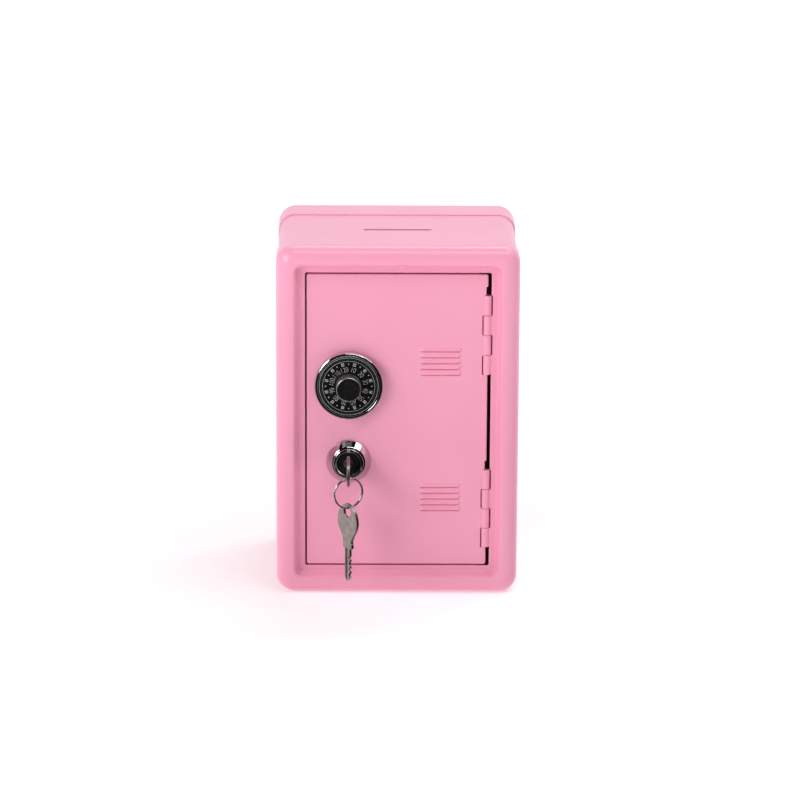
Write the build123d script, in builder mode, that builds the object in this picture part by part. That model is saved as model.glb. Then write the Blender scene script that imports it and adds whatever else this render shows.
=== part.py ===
"""Toy safe coin bank: a pressed steel money box with a hinged door, a number dial and a cam lock.

The frame is in millimetres, +Z up. The origin is on the floor, below the middle of the whole object's box.
The door faces -Y. Depths are given from the front of the case, and grow towards the back.
"""

import os
from math import cos, radians, sin

from build123d import *

# Case
CASE_WIDTH = 120.0
CASE_HEIGHT = 178.0
CASE_DEPTH = 98.0
CORNER_RADIUS = 9.0
BEND_RADIUS = 7.0
STEEL = 0.8
LAP_GAP = 0.05
FRAME_DEPTH = 20.0
SHELL_DEPTH = 25.0
SLEEVE_OVERLAP = 10.0
RIDGE_WIDTH = 9.0
STEP_RUN = 1.8
STEP_CORNER_TOP = 4.0
STEP_CORNER_FLOOR = 2.5
FLANGE_DEPTH = 4.8
FLANGE_RETURN = 5.0
MID_HEIGHT = CASE_HEIGHT / 2

# Coin slot
SLOT_LENGTH = 34.0
SLOT_WIDTH = 3.0
SLOT_DEPTH_FROM_FRONT = 42.0
SLOT_CORNER = 1.3

# Door opening and door
OPENING_LEFT = -45.6
OPENING_RIGHT = 46.0
OPENING_BOTTOM = 13.7
OPENING_TOP = CASE_HEIGHT - OPENING_BOTTOM
DOOR_GAP = 0.8
DOOR_RIGHT = 44.3
DOOR_LEFT = OPENING_LEFT + DOOR_GAP
DOOR_BOTTOM = OPENING_BOTTOM + DOOR_GAP
DOOR_TOP = OPENING_TOP - DOOR_GAP
DOOR_CORNER = 1.0
DOOR_RIM_DEPTH = 5.0
DOOR_FACE = FLANGE_DEPTH
DOOR_BACK = DOOR_FACE + STEEL

# Hinges: rolled knuckles, alternately of the door and of the frame from the top down
HINGE_X = 44.1
HINGE_DEPTH = 5.8
KNUCKLE_RADIUS = 2.0
KNUCKLE_BORE = 1.10
PIN_RADIUS = 1.05
KNUCKLE_GAP = 0.2
KNUCKLE_LENGTH = 10.05
PIN_CHAMFER = 0.2
UPPER_HINGE_TOP = 152.8
LOWER_HINGE_TOP = 63.6
DOOR_SLOT_EDGE = 41.7
FRAME_SLOT_EDGE = 46.6
NOTCH_EDGE = 43.5
NOTCH_HEIGHT = 4.5
NOTCH_WIDTH = 2.0
DOOR_KNUCKLE_ROOM = (42.7, 46.7)
DOOR_TAB = (41.1, 42.7)
FRAME_TAB = (45.1, 46.9)

# Louvres
LOUVRE_LEFT = 11.9
LOUVRE_LENGTH = 19.0
LOUVRE_PITCH = 3.0
LOUVRE_HEIGHT = 2.0
LOUVRE_RISE = 0.7
LOUVRE_TAPER = 30
LOUVRE_COUNT = 5
UPPER_LOUVRE_TOP = 126.4
LOWER_LOUVRE_TOP = 56.6

# Dial
DIAL_X = -24.1
DIAL_Z = 107.9
BEZEL_RADIUS = 16.95
BEZEL_BACK_RADIUS = 16.6
BEZEL_BORE = 15.1
BEZEL_FRONT = -1.1
BEZEL_OUTER_EASE = 0.7
BEZEL_INNER_EASE = 0.5
INDEX_NOTCH = (0.6, 1.0, 0.5)
DISC_RADIUS = 14.75
DISC_FRONT = -0.6
DISC_BACK = 2.2
DISC_SINK = 0.3
DISC_BAND = 1.9
KNOB_BASE_RADIUS = 6.35
KNOB_FACE_RADIUS = 5.95
KNOB_FRONT = -7.3
KNOB_CHAMFER = 0.3
CAP_RADIUS = 5.35
CAP_SINK = 0.5
CAP_THICKNESS = 0.3
SPINDLE_RADIUS = 2.0
SPINDLE_BORE = 2.05
SPINDLE_END = 10.2
NUT_DEPTH = 7.6
PUSH_NUT_RADIUS = 5.2
PUSH_NUT_RIM = 1.0
PUSH_NUT_DISH = 1.0
PUSH_NUT_SHEET = 0.5
SPRING_INNER = 2.3
SPRING_OUTER = 5.1
SPRING_LAND = 0.6
SPRING_THICKNESS = 0.35
FLUTE_COUNT = 36
FLUTE_RADIUS = 0.3
FLUTE_END = 0.4

# Lock
LOCK_X = -24.1
LOCK_Z = 68.05
BELL_BASE_RADIUS = 11.05
BELL_NECK_RADIUS = 7.7
BELL_FRONT = 0.6
BELL_RIM = 0.5
BELL_WAIST = (9.55, 2.6)
HEAD_RADIUS = 7.55
HEAD_FRONT = -0.8
HEAD_BORE = 5.85
HEAD_CHAMFER = 0.4
BARREL_RADIUS = 6.6
BARREL_FLAT = 5.9
BARREL_END = 22.0
PLUG_RADIUS = 4.5
PLUG_BORE = 4.55
PLUG_HEAD_RADIUS = 5.8
PLUG_HEAD_END = 3.6
PLUG_FACE = 0.6
FACE_RING_THICKNESS = 0.5
NOSE_RADIUS = 2.5
NOSE_RISE = 0.5
PLUG_END = 22.3
KEYWAY_END = 17.6
KEYWAY_WIDTH = 1.7
KEYWAY_HEIGHT = 4.7
WAFER_DEPTHS = (4.4, 7.4, 10.4, 13.4)
WAFER_THICKNESS = 0.9
WAFER_WIDTH = 3.4
WAFER_HEIGHT = 7.6
WINDOW_WIDTH = 2.0
WINDOW_HEIGHT = 5.0
WASHER_RADIUS = 9.2
WASHER_THICKNESS = 0.9
WASHER_TEETH = 16
WASHER_TOOTH = 0.7
NUT_FLATS = 17.0
NUT_THICKNESS = 3.0
CAM_THICKNESS = 1.5
CAM_WIDTH = 9.0
CAM_REACH = 27.0
CAM_CRANK = (8.5, 12.5)
CAM_BEND_SHIFT = 1.2
CAM_CORNER = 3.0
CAM_TIP_DEPTH = 10.4
CAM_SQUARE = 5.0
CAM_SCREW_RADIUS = 1.2
CAM_SCREW_HEAD = 3.6
CAM_SCREW_RISE = 2.0
CROSS_SLOT = (4.0, 0.8)
CROSS_SLOT_START = 1.2
SCREW_HOLE_START = KEYWAY_END + 0.4
SCREW_START = KEYWAY_END + 0.6

# Keys: lengths run from the blade's tip, and the shoulder meets the plug's nose
KEY_THICKNESS = 1.5
BLADE_THICKNESS = 1.3
BLADE_WIDTH = 4.2
BLADE_LENGTH = 16.6
SHOULDER_WIDTH = 6.6
SHOULDER_LENGTH = 3.0
NECK_WIDTH = 5.8
TIP_WIDTH = 1.2
TIP_LENGTH = 1.5
HEAD_LENGTH = 22.9
BOW_WIDTH = 15.0
KEY_LENGTH = BLADE_LENGTH + HEAD_LENGTH
BOW_MIDDLE = KEY_LENGTH - 9.4
KEY_HOLE_RADIUS = 2.8
KEY_HOLE_FROM_END = 4.1
CUT_START = 2.85
CUT_PITCH = 3.0
CUT_WIDTH = 2.8
CUT_ANGLE = 60
CUT_DEPTHS = (0.7, 1.1, 0.5, 0.9)
GROOVE_WIDTH = 0.9
GROOVE_DEPTH = 0.35
GROOVE_OFFSET = 0.5

# Split ring through both keys' holes, and how far the ring and the hanging key are turned about the vertical
WIRE_RADIUS = 0.4
RING_RADIUS = 7.55
RING_TURN = 26.0
SPARE_KEY_TURN = -51.0
WIRE_CLEARANCE = 0.45

# The whole object's box runs from the front edge of the hanging key's turned bow to the back of the case
KEY_SHOULDER = PLUG_FACE - NOSE_RISE
HANG_DEPTH = KEY_SHOULDER - HEAD_LENGTH + KEY_HOLE_FROM_END
turn = radians(SPARE_KEY_TURN)
SPARE_REACH = (BOW_WIDTH * abs(sin(turn)) + KEY_THICKNESS * cos(turn)) / 2 - HANG_DEPTH
FRONT_Y = (SPARE_REACH - CASE_DEPTH) / 2

os.makedirs("parts", exist_ok=True)


def facing(depth, x=0.0, z=0.0):
    """A plane across the case at a depth: x to the right, z up, extrusions forwards."""
    return Plane((x, FRONT_Y + depth, z), x_dir=(1, 0, 0), z_dir=(0, -1, 0))


def lengthwise(x, z):
    """A plane through a front-to-back axis: its first direction is +X, its second goes to the back."""
    return Plane((x, FRONT_Y, z), x_dir=(1, 0, 0), z_dir=(0, 0, 1))


def save(part, name):
    """Labels a finished piece and writes it under its node's name."""
    part.label = name
    export_step(part, f"parts/{name}.step")


def drawn_block(inset, depth_from, depth_to):
    """The case's outside, shrunk by inset, with its front edge rounded at depth_from."""
    with BuildPart() as block:
        with BuildSketch(facing(depth_from, 0, MID_HEIGHT)):
            RectangleRounded(CASE_WIDTH - 2 * inset, CASE_HEIGHT - 2 * inset, CORNER_RADIUS - inset)
        extrude(amount=depth_from - depth_to)
        front = block.faces().sort_by(Axis.Y)[0]
        fillet(front.edges(), BEND_RADIUS - inset)
    return block.part


def sunk_block(grow, start, floor):
    """The tapered hollow inside the frame's ridge, grown all round, between two depths."""
    wide = CASE_WIDTH - 2 * RIDGE_WIDTH + 2 * grow
    high = CASE_HEIGHT - 2 * RIDGE_WIDTH + 2 * grow
    with BuildPart() as block:
        with BuildSketch(facing(start, 0, MID_HEIGHT)):
            RectangleRounded(wide, high, STEP_CORNER_TOP)
        with BuildSketch(facing(floor, 0, MID_HEIGHT)):
            RectangleRounded(wide - 2 * STEP_RUN, high - 2 * STEP_RUN, STEP_CORNER_FLOOR)
        loft()
    return block.part


def knuckle_spans(top, first):
    """Bottom and top heights of every second knuckle of a hinge, from knuckle number first, with end gaps."""
    spans = []
    for number in range(first, 4, 2):
        upper = top - number * KNUCKLE_LENGTH
        spans.append((upper - KNUCKLE_LENGTH + KNUCKLE_GAP / 2, upper - KNUCKLE_GAP / 2))
    return spans


HINGE_TOPS = (UPPER_HINGE_TOP, LOWER_HINGE_TOP)
DOOR_SPANS = [span for top in HINGE_TOPS for span in knuckle_spans(top, 0)]
FRAME_SPANS = [span for top in HINGE_TOPS for span in knuckle_spans(top, 1)]
HINGE_Y = FRONT_Y + HINGE_DEPTH

# Front frame
with BuildPart() as frame_cavity:
    add(drawn_block(STEEL, STEEL, FRAME_DEPTH))
    add(sunk_block(STEEL, STEEL, FLANGE_DEPTH + STEEL), mode=Mode.SUBTRACT)
opening_width = OPENING_RIGHT - OPENING_LEFT
opening_x = (OPENING_RIGHT + OPENING_LEFT) / 2
opening_height = OPENING_TOP - OPENING_BOTTOM
with BuildPart() as front_frame:
    add(drawn_block(0.0, 0.0, FRAME_DEPTH))
    add(sunk_block(0.0, 0.0, FLANGE_DEPTH), mode=Mode.SUBTRACT)
    add(frame_cavity.part, mode=Mode.SUBTRACT)
    # Door opening
    with BuildSketch(facing(0, opening_x, MID_HEIGHT)):
        RectangleRounded(opening_width, opening_height, DOOR_CORNER)
    extrude(amount=-FRAME_DEPTH, mode=Mode.SUBTRACT)
    # Return flange round the latch side, the top and the bottom
    with BuildSketch(facing(FLANGE_DEPTH, opening_x, MID_HEIGHT)):
        RectangleRounded(opening_width + 2 * STEEL, opening_height + 2 * STEEL, DOOR_CORNER + STEEL)
        RectangleRounded(opening_width, opening_height, DOOR_CORNER, mode=Mode.SUBTRACT)
        with Locations((opening_width / 2, 0)):
            Rectangle(8 * STEEL, opening_height + 4 * STEEL, mode=Mode.SUBTRACT)
    extrude(amount=-FLANGE_RETURN)
    # Slots beside the door's knuckles
    for low, high in DOOR_SPANS:
        with BuildSketch(facing(0, FRAME_SLOT_EDGE - 1, (low + high) / 2)):
            Rectangle(2, high - low + KNUCKLE_GAP)
        extrude(amount=-FRAME_DEPTH / 2, mode=Mode.SUBTRACT)
    # Rolled knuckles with the tabs that carry them
    for low, high in FRAME_SPANS:
        with BuildSketch(Plane.XY.offset(low)):
            with Locations((HINGE_X, HINGE_Y)):
                Circle(KNUCKLE_RADIUS)
            with Locations((sum(FRAME_TAB) / 2, FRONT_Y + FLANGE_DEPTH + STEEL / 2)):
                Rectangle(FRAME_TAB[1] - FRAME_TAB[0], STEEL)
            with Locations((HINGE_X, HINGE_Y)):
                Circle(KNUCKLE_BORE, mode=Mode.SUBTRACT)
        extrude(amount=high - low)
save(front_frame.part, "front_frame")

# Sleeve between the frame and the rear shell, open at the front and the back
sleeve_inset = STEEL + LAP_GAP
with BuildPart() as body_sleeve:
    with BuildSketch(facing(SLEEVE_OVERLAP, 0, MID_HEIGHT)):
        RectangleRounded(
            CASE_WIDTH - 2 * sleeve_inset, CASE_HEIGHT - 2 * sleeve_inset, CORNER_RADIUS - sleeve_inset
        )
        inner_inset = sleeve_inset + STEEL
        RectangleRounded(
            CASE_WIDTH - 2 * inner_inset,
            CASE_HEIGHT - 2 * inner_inset,
            CORNER_RADIUS - inner_inset,
            mode=Mode.SUBTRACT,
        )
    extrude(amount=2 * SLEEVE_OVERLAP - CASE_DEPTH)
    with BuildSketch(Plane.XY.offset(CASE_HEIGHT)):
        with Locations((0, FRONT_Y + SLOT_DEPTH_FROM_FRONT)):
            RectangleRounded(SLOT_LENGTH, SLOT_WIDTH, SLOT_CORNER)
    extrude(amount=-CORNER_RADIUS / 2, mode=Mode.SUBTRACT)
save(body_sleeve.part, "body_sleeve")

# Rear shell: the same drawn shape as the frame's outside, with a closed back
with BuildPart() as shell_hollow:
    with BuildSketch(facing(CASE_DEPTH - SHELL_DEPTH, 0, MID_HEIGHT)):
        RectangleRounded(CASE_WIDTH - 2 * STEEL, CASE_HEIGHT - 2 * STEEL, CORNER_RADIUS - STEEL)
    extrude(amount=STEEL - SHELL_DEPTH)
    fillet(shell_hollow.faces().sort_by(Axis.Y)[-1].edges(), BEND_RADIUS - STEEL)
with BuildPart() as rear_shell:
    with BuildSketch(facing(CASE_DEPTH - SHELL_DEPTH, 0, MID_HEIGHT)):
        RectangleRounded(CASE_WIDTH, CASE_HEIGHT, CORNER_RADIUS)
    extrude(amount=-SHELL_DEPTH)
    fillet(rear_shell.faces().sort_by(Axis.Y)[-1].edges(), BEND_RADIUS)
    add(shell_hollow.part, mode=Mode.SUBTRACT)
save(rear_shell.part, "rear_shell")

# Door: a sheet with a rim folded back on all sides, set in on the hinge side to clear the knuckles
door_width = DOOR_RIGHT - DOOR_LEFT
door_height = DOOR_TOP - DOOR_BOTTOM
door_x = (DOOR_RIGHT + DOOR_LEFT) / 2
rim_width = DOOR_SLOT_EDGE - DOOR_LEFT
rim_x = (DOOR_SLOT_EDGE + DOOR_LEFT) / 2
with BuildPart() as door_panel:
    with BuildSketch(facing(DOOR_FACE, door_x, MID_HEIGHT)):
        RectangleRounded(door_width, door_height, DOOR_CORNER)
    extrude(amount=-STEEL)
    with BuildSketch(facing(DOOR_BACK, rim_x, MID_HEIGHT)):
        RectangleRounded(rim_width, door_height, DOOR_CORNER)
        Rectangle(rim_width - 2 * STEEL, door_height - 2 * STEEL, mode=Mode.SUBTRACT)
    extrude(amount=STEEL - DOOR_RIM_DEPTH)
    # Slots beside the frame's knuckles, room for the door's own knuckles, and a notch above each hinge
    for low, high in FRAME_SPANS:
        with BuildSketch(facing(DOOR_FACE, DOOR_SLOT_EDGE + KNUCKLE_RADIUS, (low + high) / 2)):
            Rectangle(2 * KNUCKLE_RADIUS, high - low + KNUCKLE_GAP)
        extrude(amount=-STEEL, mode=Mode.SUBTRACT)
    for low, high in DOOR_SPANS:
        with BuildSketch(facing(DOOR_FACE, sum(DOOR_KNUCKLE_ROOM) / 2, (low + high) / 2)):
            Rectangle(DOOR_KNUCKLE_ROOM[1] - DOOR_KNUCKLE_ROOM[0], high - low + KNUCKLE_GAP)
        extrude(amount=-STEEL, mode=Mode.SUBTRACT)
    for top in HINGE_TOPS:
        with BuildSketch(facing(DOOR_FACE, NOTCH_EDGE + NOTCH_WIDTH / 2, top + NOTCH_HEIGHT / 2)):
            Rectangle(NOTCH_WIDTH, NOTCH_HEIGHT)
        extrude(amount=-STEEL, mode=Mode.SUBTRACT)
    for low, high in DOOR_SPANS:
        with BuildSketch(Plane.XY.offset(low)):
            with Locations((HINGE_X, HINGE_Y)):
                Circle(KNUCKLE_RADIUS)
            with Locations((sum(DOOR_TAB) / 2, FRONT_Y + DOOR_FACE + STEEL / 2)):
                Rectangle(DOOR_TAB[1] - DOOR_TAB[0], STEEL)
            with Locations((HINGE_X, HINGE_Y)):
                Circle(KNUCKLE_BORE, mode=Mode.SUBTRACT)
        extrude(amount=high - low)
    # Louvres: flat-backed ribs pressed out of the sheet
    for group_top in (UPPER_LOUVRE_TOP, LOWER_LOUVRE_TOP):
        for number in range(LOUVRE_COUNT):
            rib_z = group_top - LOUVRE_HEIGHT / 2 - number * LOUVRE_PITCH
            with BuildSketch(facing(DOOR_FACE, LOUVRE_LEFT + LOUVRE_LENGTH / 2, rib_z)):
                SlotOverall(LOUVRE_LENGTH, LOUVRE_HEIGHT)
            extrude(amount=LOUVRE_RISE, taper=LOUVRE_TAPER)
    # Holes for the dial's spindle and the lock's barrel
    with BuildSketch(facing(DOOR_FACE, DIAL_X, DIAL_Z)):
        Circle(SPINDLE_BORE)
    extrude(amount=-STEEL, mode=Mode.SUBTRACT)
    with BuildSketch(facing(DOOR_FACE, LOCK_X, LOCK_Z)):
        Circle(BARREL_RADIUS + LAP_GAP)
        Rectangle(2 * (BARREL_FLAT + LAP_GAP), 4 * BARREL_RADIUS, mode=Mode.INTERSECT)
    extrude(amount=-STEEL, mode=Mode.SUBTRACT)
save(door_panel.part, "door_panel")


def hinge_pin(top):
    """A wire through the four knuckles below the height top, cut flush and chamfered at both ends."""
    with BuildPart() as pin:
        with BuildSketch(Plane.XY.offset(top - 4 * KNUCKLE_LENGTH)):
            with Locations((HINGE_X, HINGE_Y)):
                Circle(PIN_RADIUS)
        extrude(amount=4 * KNUCKLE_LENGTH)
        chamfer(pin.edges().filter_by(GeomType.CIRCLE), PIN_CHAMFER)
    return pin.part


save(hinge_pin(UPPER_HINGE_TOP), "upper_hinge_pin")
save(hinge_pin(LOWER_HINGE_TOP), "lower_hinge_pin")

# Dial bezel: a cup with a rounded lip, flat on the door, notched at the top
DIAL_AXIS = Axis((DIAL_X, FRONT_Y, DIAL_Z), (0, 1, 0))
notch_width, notch_length, notch_depth = INDEX_NOTCH
with BuildPart() as dial_bezel:
    with BuildSketch(lengthwise(DIAL_X, DIAL_Z)):
        with BuildLine():
            Polyline(
                (SPINDLE_RADIUS + 1, DOOR_FACE),
                (BEZEL_BACK_RADIUS, DOOR_FACE),
                (BEZEL_RADIUS, DOOR_FACE - 1),
                (BEZEL_RADIUS, BEZEL_FRONT + 1),
                (BEZEL_RADIUS - BEZEL_OUTER_EASE, BEZEL_FRONT),
                (BEZEL_BORE + BEZEL_INNER_EASE, BEZEL_FRONT),
                (BEZEL_BORE, BEZEL_FRONT + BEZEL_INNER_EASE),
                (BEZEL_BORE, DOOR_FACE - STEEL),
                (SPINDLE_RADIUS + 1, DOOR_FACE - STEEL),
                close=True,
            )
        make_face()
    revolve(axis=DIAL_AXIS)
    with BuildSketch(facing(BEZEL_FRONT, DIAL_X, DIAL_Z + (BEZEL_BORE + BEZEL_RADIUS) / 2)):
        Rectangle(notch_width, notch_length)
    extrude(amount=-notch_depth, mode=Mode.SUBTRACT)
save(dial_bezel.part, "dial_bezel")

# Number disc, with a raised outer band and a bore that grips the spindle
with BuildPart() as dial_disc:
    with BuildSketch(lengthwise(DIAL_X, DIAL_Z)):
        with BuildLine():
            Polyline(
                (SPINDLE_RADIUS, DISC_BACK),
                (DISC_RADIUS, DISC_BACK),
                (DISC_RADIUS, DISC_FRONT + DISC_SINK),
                (DISC_RADIUS - DISC_SINK, DISC_FRONT),
                (DISC_RADIUS - DISC_BAND, DISC_FRONT),
                (DISC_RADIUS - DISC_BAND - DISC_SINK, DISC_FRONT + DISC_SINK),
                (SPINDLE_RADIUS, DISC_FRONT + DISC_SINK),
                close=True,
            )
        make_face()
    revolve(axis=DIAL_AXIS)
save(dial_disc.part, "dial_disc")

# Knob: a fluted cone, with a shallow seat for its inlay
with BuildPart() as dial_knob:
    with BuildSketch(lengthwise(DIAL_X, DIAL_Z)):
        with BuildLine():
            Polyline(
                (SPINDLE_RADIUS, DISC_FRONT + DISC_SINK),
                (KNOB_BASE_RADIUS, DISC_FRONT + DISC_SINK),
                (KNOB_FACE_RADIUS, KNOB_FRONT + KNOB_CHAMFER),
                (KNOB_FACE_RADIUS - KNOB_CHAMFER, KNOB_FRONT),
                (CAP_RADIUS, KNOB_FRONT),
                (CAP_RADIUS, KNOB_FRONT + CAP_SINK),
                (SPINDLE_RADIUS, KNOB_FRONT + CAP_SINK),
                close=True,
            )
        make_face()
    revolve(axis=DIAL_AXIS)
    with BuildSketch(facing(DISC_FRONT + DISC_SINK, DIAL_X, DIAL_Z)):
        with PolarLocations(KNOB_BASE_RADIUS + FLUTE_RADIUS / 3, FLUTE_COUNT):
            Circle(FLUTE_RADIUS)
    extrude(amount=DISC_FRONT + DISC_SINK - KNOB_FRONT - KNOB_CHAMFER - FLUTE_END, mode=Mode.SUBTRACT)
save(dial_knob.part, "dial_knob")

with BuildPart() as dial_knob_cap:
    with BuildSketch(facing(KNOB_FRONT + CAP_SINK, DIAL_X, DIAL_Z)):
        Circle(CAP_RADIUS - LAP_GAP)
    extrude(amount=CAP_THICKNESS)
save(dial_knob_cap.part, "dial_knob_cap")

# Spindle: runs from the knob's seat to behind the door, with a groove for the push nut
with BuildPart() as dial_spindle:
    with BuildSketch(facing(KNOB_FRONT + CAP_SINK, DIAL_X, DIAL_Z)):
        Circle(SPINDLE_RADIUS)
    extrude(amount=KNOB_FRONT + CAP_SINK - SPINDLE_END)
    chamfer(dial_spindle.faces().sort_by(Axis.Y)[-1].edges(), SPINDLE_RADIUS / 5)
save(dial_spindle.part, "dial_spindle")

# Spring washer: a dished ring whose inner edge is on the door and whose outer edge is on the push nut
with BuildPart() as dial_spring_washer:
    with BuildSketch(lengthwise(DIAL_X, DIAL_Z)):
        with BuildLine():
            Polyline(
                (SPRING_INNER, DOOR_BACK + LAP_GAP),
                (SPRING_INNER + SPRING_LAND, DOOR_BACK + LAP_GAP),
                (SPRING_OUTER, NUT_DEPTH - SPRING_THICKNESS),
                (SPRING_OUTER, NUT_DEPTH),
                (SPRING_OUTER - SPRING_LAND, NUT_DEPTH),
                (SPRING_INNER, DOOR_BACK + LAP_GAP + SPRING_THICKNESS),
                close=True,
            )
        make_face()
    revolve(axis=DIAL_AXIS)
save(dial_spring_washer.part, "dial_spring_washer")

# Push nut: a dished steel cap ring pressed on the spindle
with BuildPart() as dial_push_nut:
    with BuildSketch(lengthwise(DIAL_X, DIAL_Z)):
        with BuildLine():
            Polyline(
                (SPINDLE_RADIUS, NUT_DEPTH + PUSH_NUT_DISH),
                (PUSH_NUT_RADIUS - PUSH_NUT_RIM, NUT_DEPTH),
                (PUSH_NUT_RADIUS, NUT_DEPTH),
                (PUSH_NUT_RADIUS, NUT_DEPTH + PUSH_NUT_SHEET),
                (PUSH_NUT_RADIUS - PUSH_NUT_RIM, NUT_DEPTH + PUSH_NUT_SHEET),
                (SPINDLE_RADIUS, NUT_DEPTH + PUSH_NUT_DISH + PUSH_NUT_SHEET),
                close=True,
            )
        make_face()
    revolve(axis=DIAL_AXIS)
save(dial_push_nut.part, "dial_push_nut")

# Lock escutcheon: a bell that flares from the lock's head to the door
LOCK_AXIS = Axis((LOCK_X, FRONT_Y, LOCK_Z), (0, 1, 0))
with BuildPart() as lock_escutcheon:
    with BuildSketch(lengthwise(LOCK_X, LOCK_Z)):
        with BuildLine():
            base = Line((BARREL_RADIUS + LAP_GAP, DOOR_FACE), (BELL_BASE_RADIUS, DOOR_FACE))
            rim = Line(base @ 1, (BELL_BASE_RADIUS, DOOR_FACE - BELL_RIM))
            flare = ThreePointArc(rim @ 1, BELL_WAIST, (BELL_NECK_RADIUS, BELL_FRONT))
            Polyline(flare @ 1, (BARREL_RADIUS + LAP_GAP, BELL_FRONT), base @ 0)
        make_face()
    revolve(axis=LOCK_AXIS)
save(lock_escutcheon.part, "lock_escutcheon")

# Lock housing: a round head over the bell, and a barrel with two flats that passes through the door
with BuildPart() as lock_housing:
    with BuildSketch(lengthwise(LOCK_X, LOCK_Z)):
        with BuildLine():
            Polyline(
                (PLUG_BORE, PLUG_HEAD_END + LAP_GAP),
                (HEAD_BORE, PLUG_HEAD_END + LAP_GAP),
                (HEAD_BORE, HEAD_FRONT + HEAD_CHAMFER / 2),
                (HEAD_BORE + HEAD_CHAMFER, HEAD_FRONT),
                (HEAD_RADIUS - HEAD_CHAMFER, HEAD_FRONT),
                (HEAD_RADIUS, HEAD_FRONT + HEAD_CHAMFER),
                (HEAD_RADIUS, BELL_FRONT),
                (BARREL_RADIUS, BELL_FRONT),
                (BARREL_RADIUS, BARREL_END),
                (PLUG_BORE, BARREL_END),
                close=True,
            )
        make_face()
    revolve(axis=LOCK_AXIS)
    with BuildSketch(facing(DOOR_FACE, LOCK_X, LOCK_Z)):
        Circle(2 * BARREL_RADIUS)
        Rectangle(2 * BARREL_FLAT, 4 * BARREL_RADIUS, mode=Mode.SUBTRACT)
    extrude(amount=DOOR_FACE - BARREL_END, mode=Mode.SUBTRACT)
save(lock_housing.part, "lock_housing")

# Plug: turns in the housing, slotted for the key and for four wafers, with a square tenon for the cam
with BuildPart() as lock_plug:
    with BuildSketch(lengthwise(LOCK_X, LOCK_Z)):
        with BuildLine():
            Polyline(
                (0, PLUG_FACE - NOSE_RISE),
                (NOSE_RADIUS, PLUG_FACE - NOSE_RISE),
                (NOSE_RADIUS, PLUG_FACE + FACE_RING_THICKNESS),
                (PLUG_HEAD_RADIUS, PLUG_FACE + FACE_RING_THICKNESS),
                (PLUG_HEAD_RADIUS, PLUG_HEAD_END),
                (PLUG_RADIUS, PLUG_HEAD_END),
                (PLUG_RADIUS, PLUG_END),
                (0, PLUG_END),
                close=True,
            )
        make_face()
    revolve(axis=LOCK_AXIS)
    with BuildSketch(facing(PLUG_END, LOCK_X, LOCK_Z)):
        Rectangle(CAM_SQUARE, CAM_SQUARE)
    extrude(amount=-CAM_THICKNESS)
    with BuildSketch(facing(KEYWAY_END, LOCK_X, LOCK_Z)):
        Rectangle(KEYWAY_WIDTH, KEYWAY_HEIGHT)
    extrude(amount=KEYWAY_END + 1, mode=Mode.SUBTRACT)
    for depth in WAFER_DEPTHS:
        with BuildSketch(facing(depth - LAP_GAP, LOCK_X, LOCK_Z)):
            Rectangle(WAFER_WIDTH + 2 * LAP_GAP, WAFER_HEIGHT + 2 * LAP_GAP)
        extrude(amount=-WAFER_THICKNESS - 2 * LAP_GAP, mode=Mode.SUBTRACT)
    with BuildSketch(facing(PLUG_END + CAM_THICKNESS, LOCK_X, LOCK_Z)):
        Circle(CAM_SCREW_RADIUS)
    extrude(amount=PLUG_END + CAM_THICKNESS - SCREW_HOLE_START, mode=Mode.SUBTRACT)
save(lock_plug.part, "lock_plug")

with BuildPart() as lock_face_ring:
    with BuildSketch(facing(PLUG_FACE, LOCK_X, LOCK_Z)):
        Circle(PLUG_HEAD_RADIUS)
        Circle(NOSE_RADIUS, mode=Mode.SUBTRACT)
    extrude(amount=-FACE_RING_THICKNESS)
save(lock_face_ring.part, "lock_face_ring")

# Wafers: four stamped plates with a window each, lined up by the key
with BuildPart() as lock_wafers:
    for depth in WAFER_DEPTHS:
        with BuildSketch(facing(depth, LOCK_X, LOCK_Z)):
            Rectangle(WAFER_WIDTH, WAFER_HEIGHT)
            Rectangle(WINDOW_WIDTH, WINDOW_HEIGHT, mode=Mode.SUBTRACT)
        extrude(amount=-WAFER_THICKNESS)
save(lock_wafers.part, "lock_wafers")

# Washer and nut that hold the housing to the door
NUT_FRONT = DOOR_BACK + WASHER_THICKNESS
with BuildPart() as lock_washer:
    with BuildSketch(facing(DOOR_BACK, LOCK_X, LOCK_Z)):
        Circle(WASHER_RADIUS)
        with PolarLocations(WASHER_RADIUS + WASHER_TOOTH / 4, WASHER_TEETH):
            Circle(WASHER_TOOTH, mode=Mode.SUBTRACT)
        Circle(BARREL_RADIUS + LAP_GAP, mode=Mode.SUBTRACT)
    extrude(amount=-WASHER_THICKNESS)
save(lock_washer.part, "lock_washer")

with BuildPart() as lock_nut:
    with BuildSketch(facing(NUT_FRONT, LOCK_X, LOCK_Z)):
        RegularPolygon(NUT_FLATS / 2, 6, major_radius=False)
        Circle(BARREL_RADIUS + LAP_GAP, mode=Mode.SUBTRACT)
    extrude(amount=-NUT_THICKNESS)
save(lock_nut.part, "lock_nut")

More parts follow.
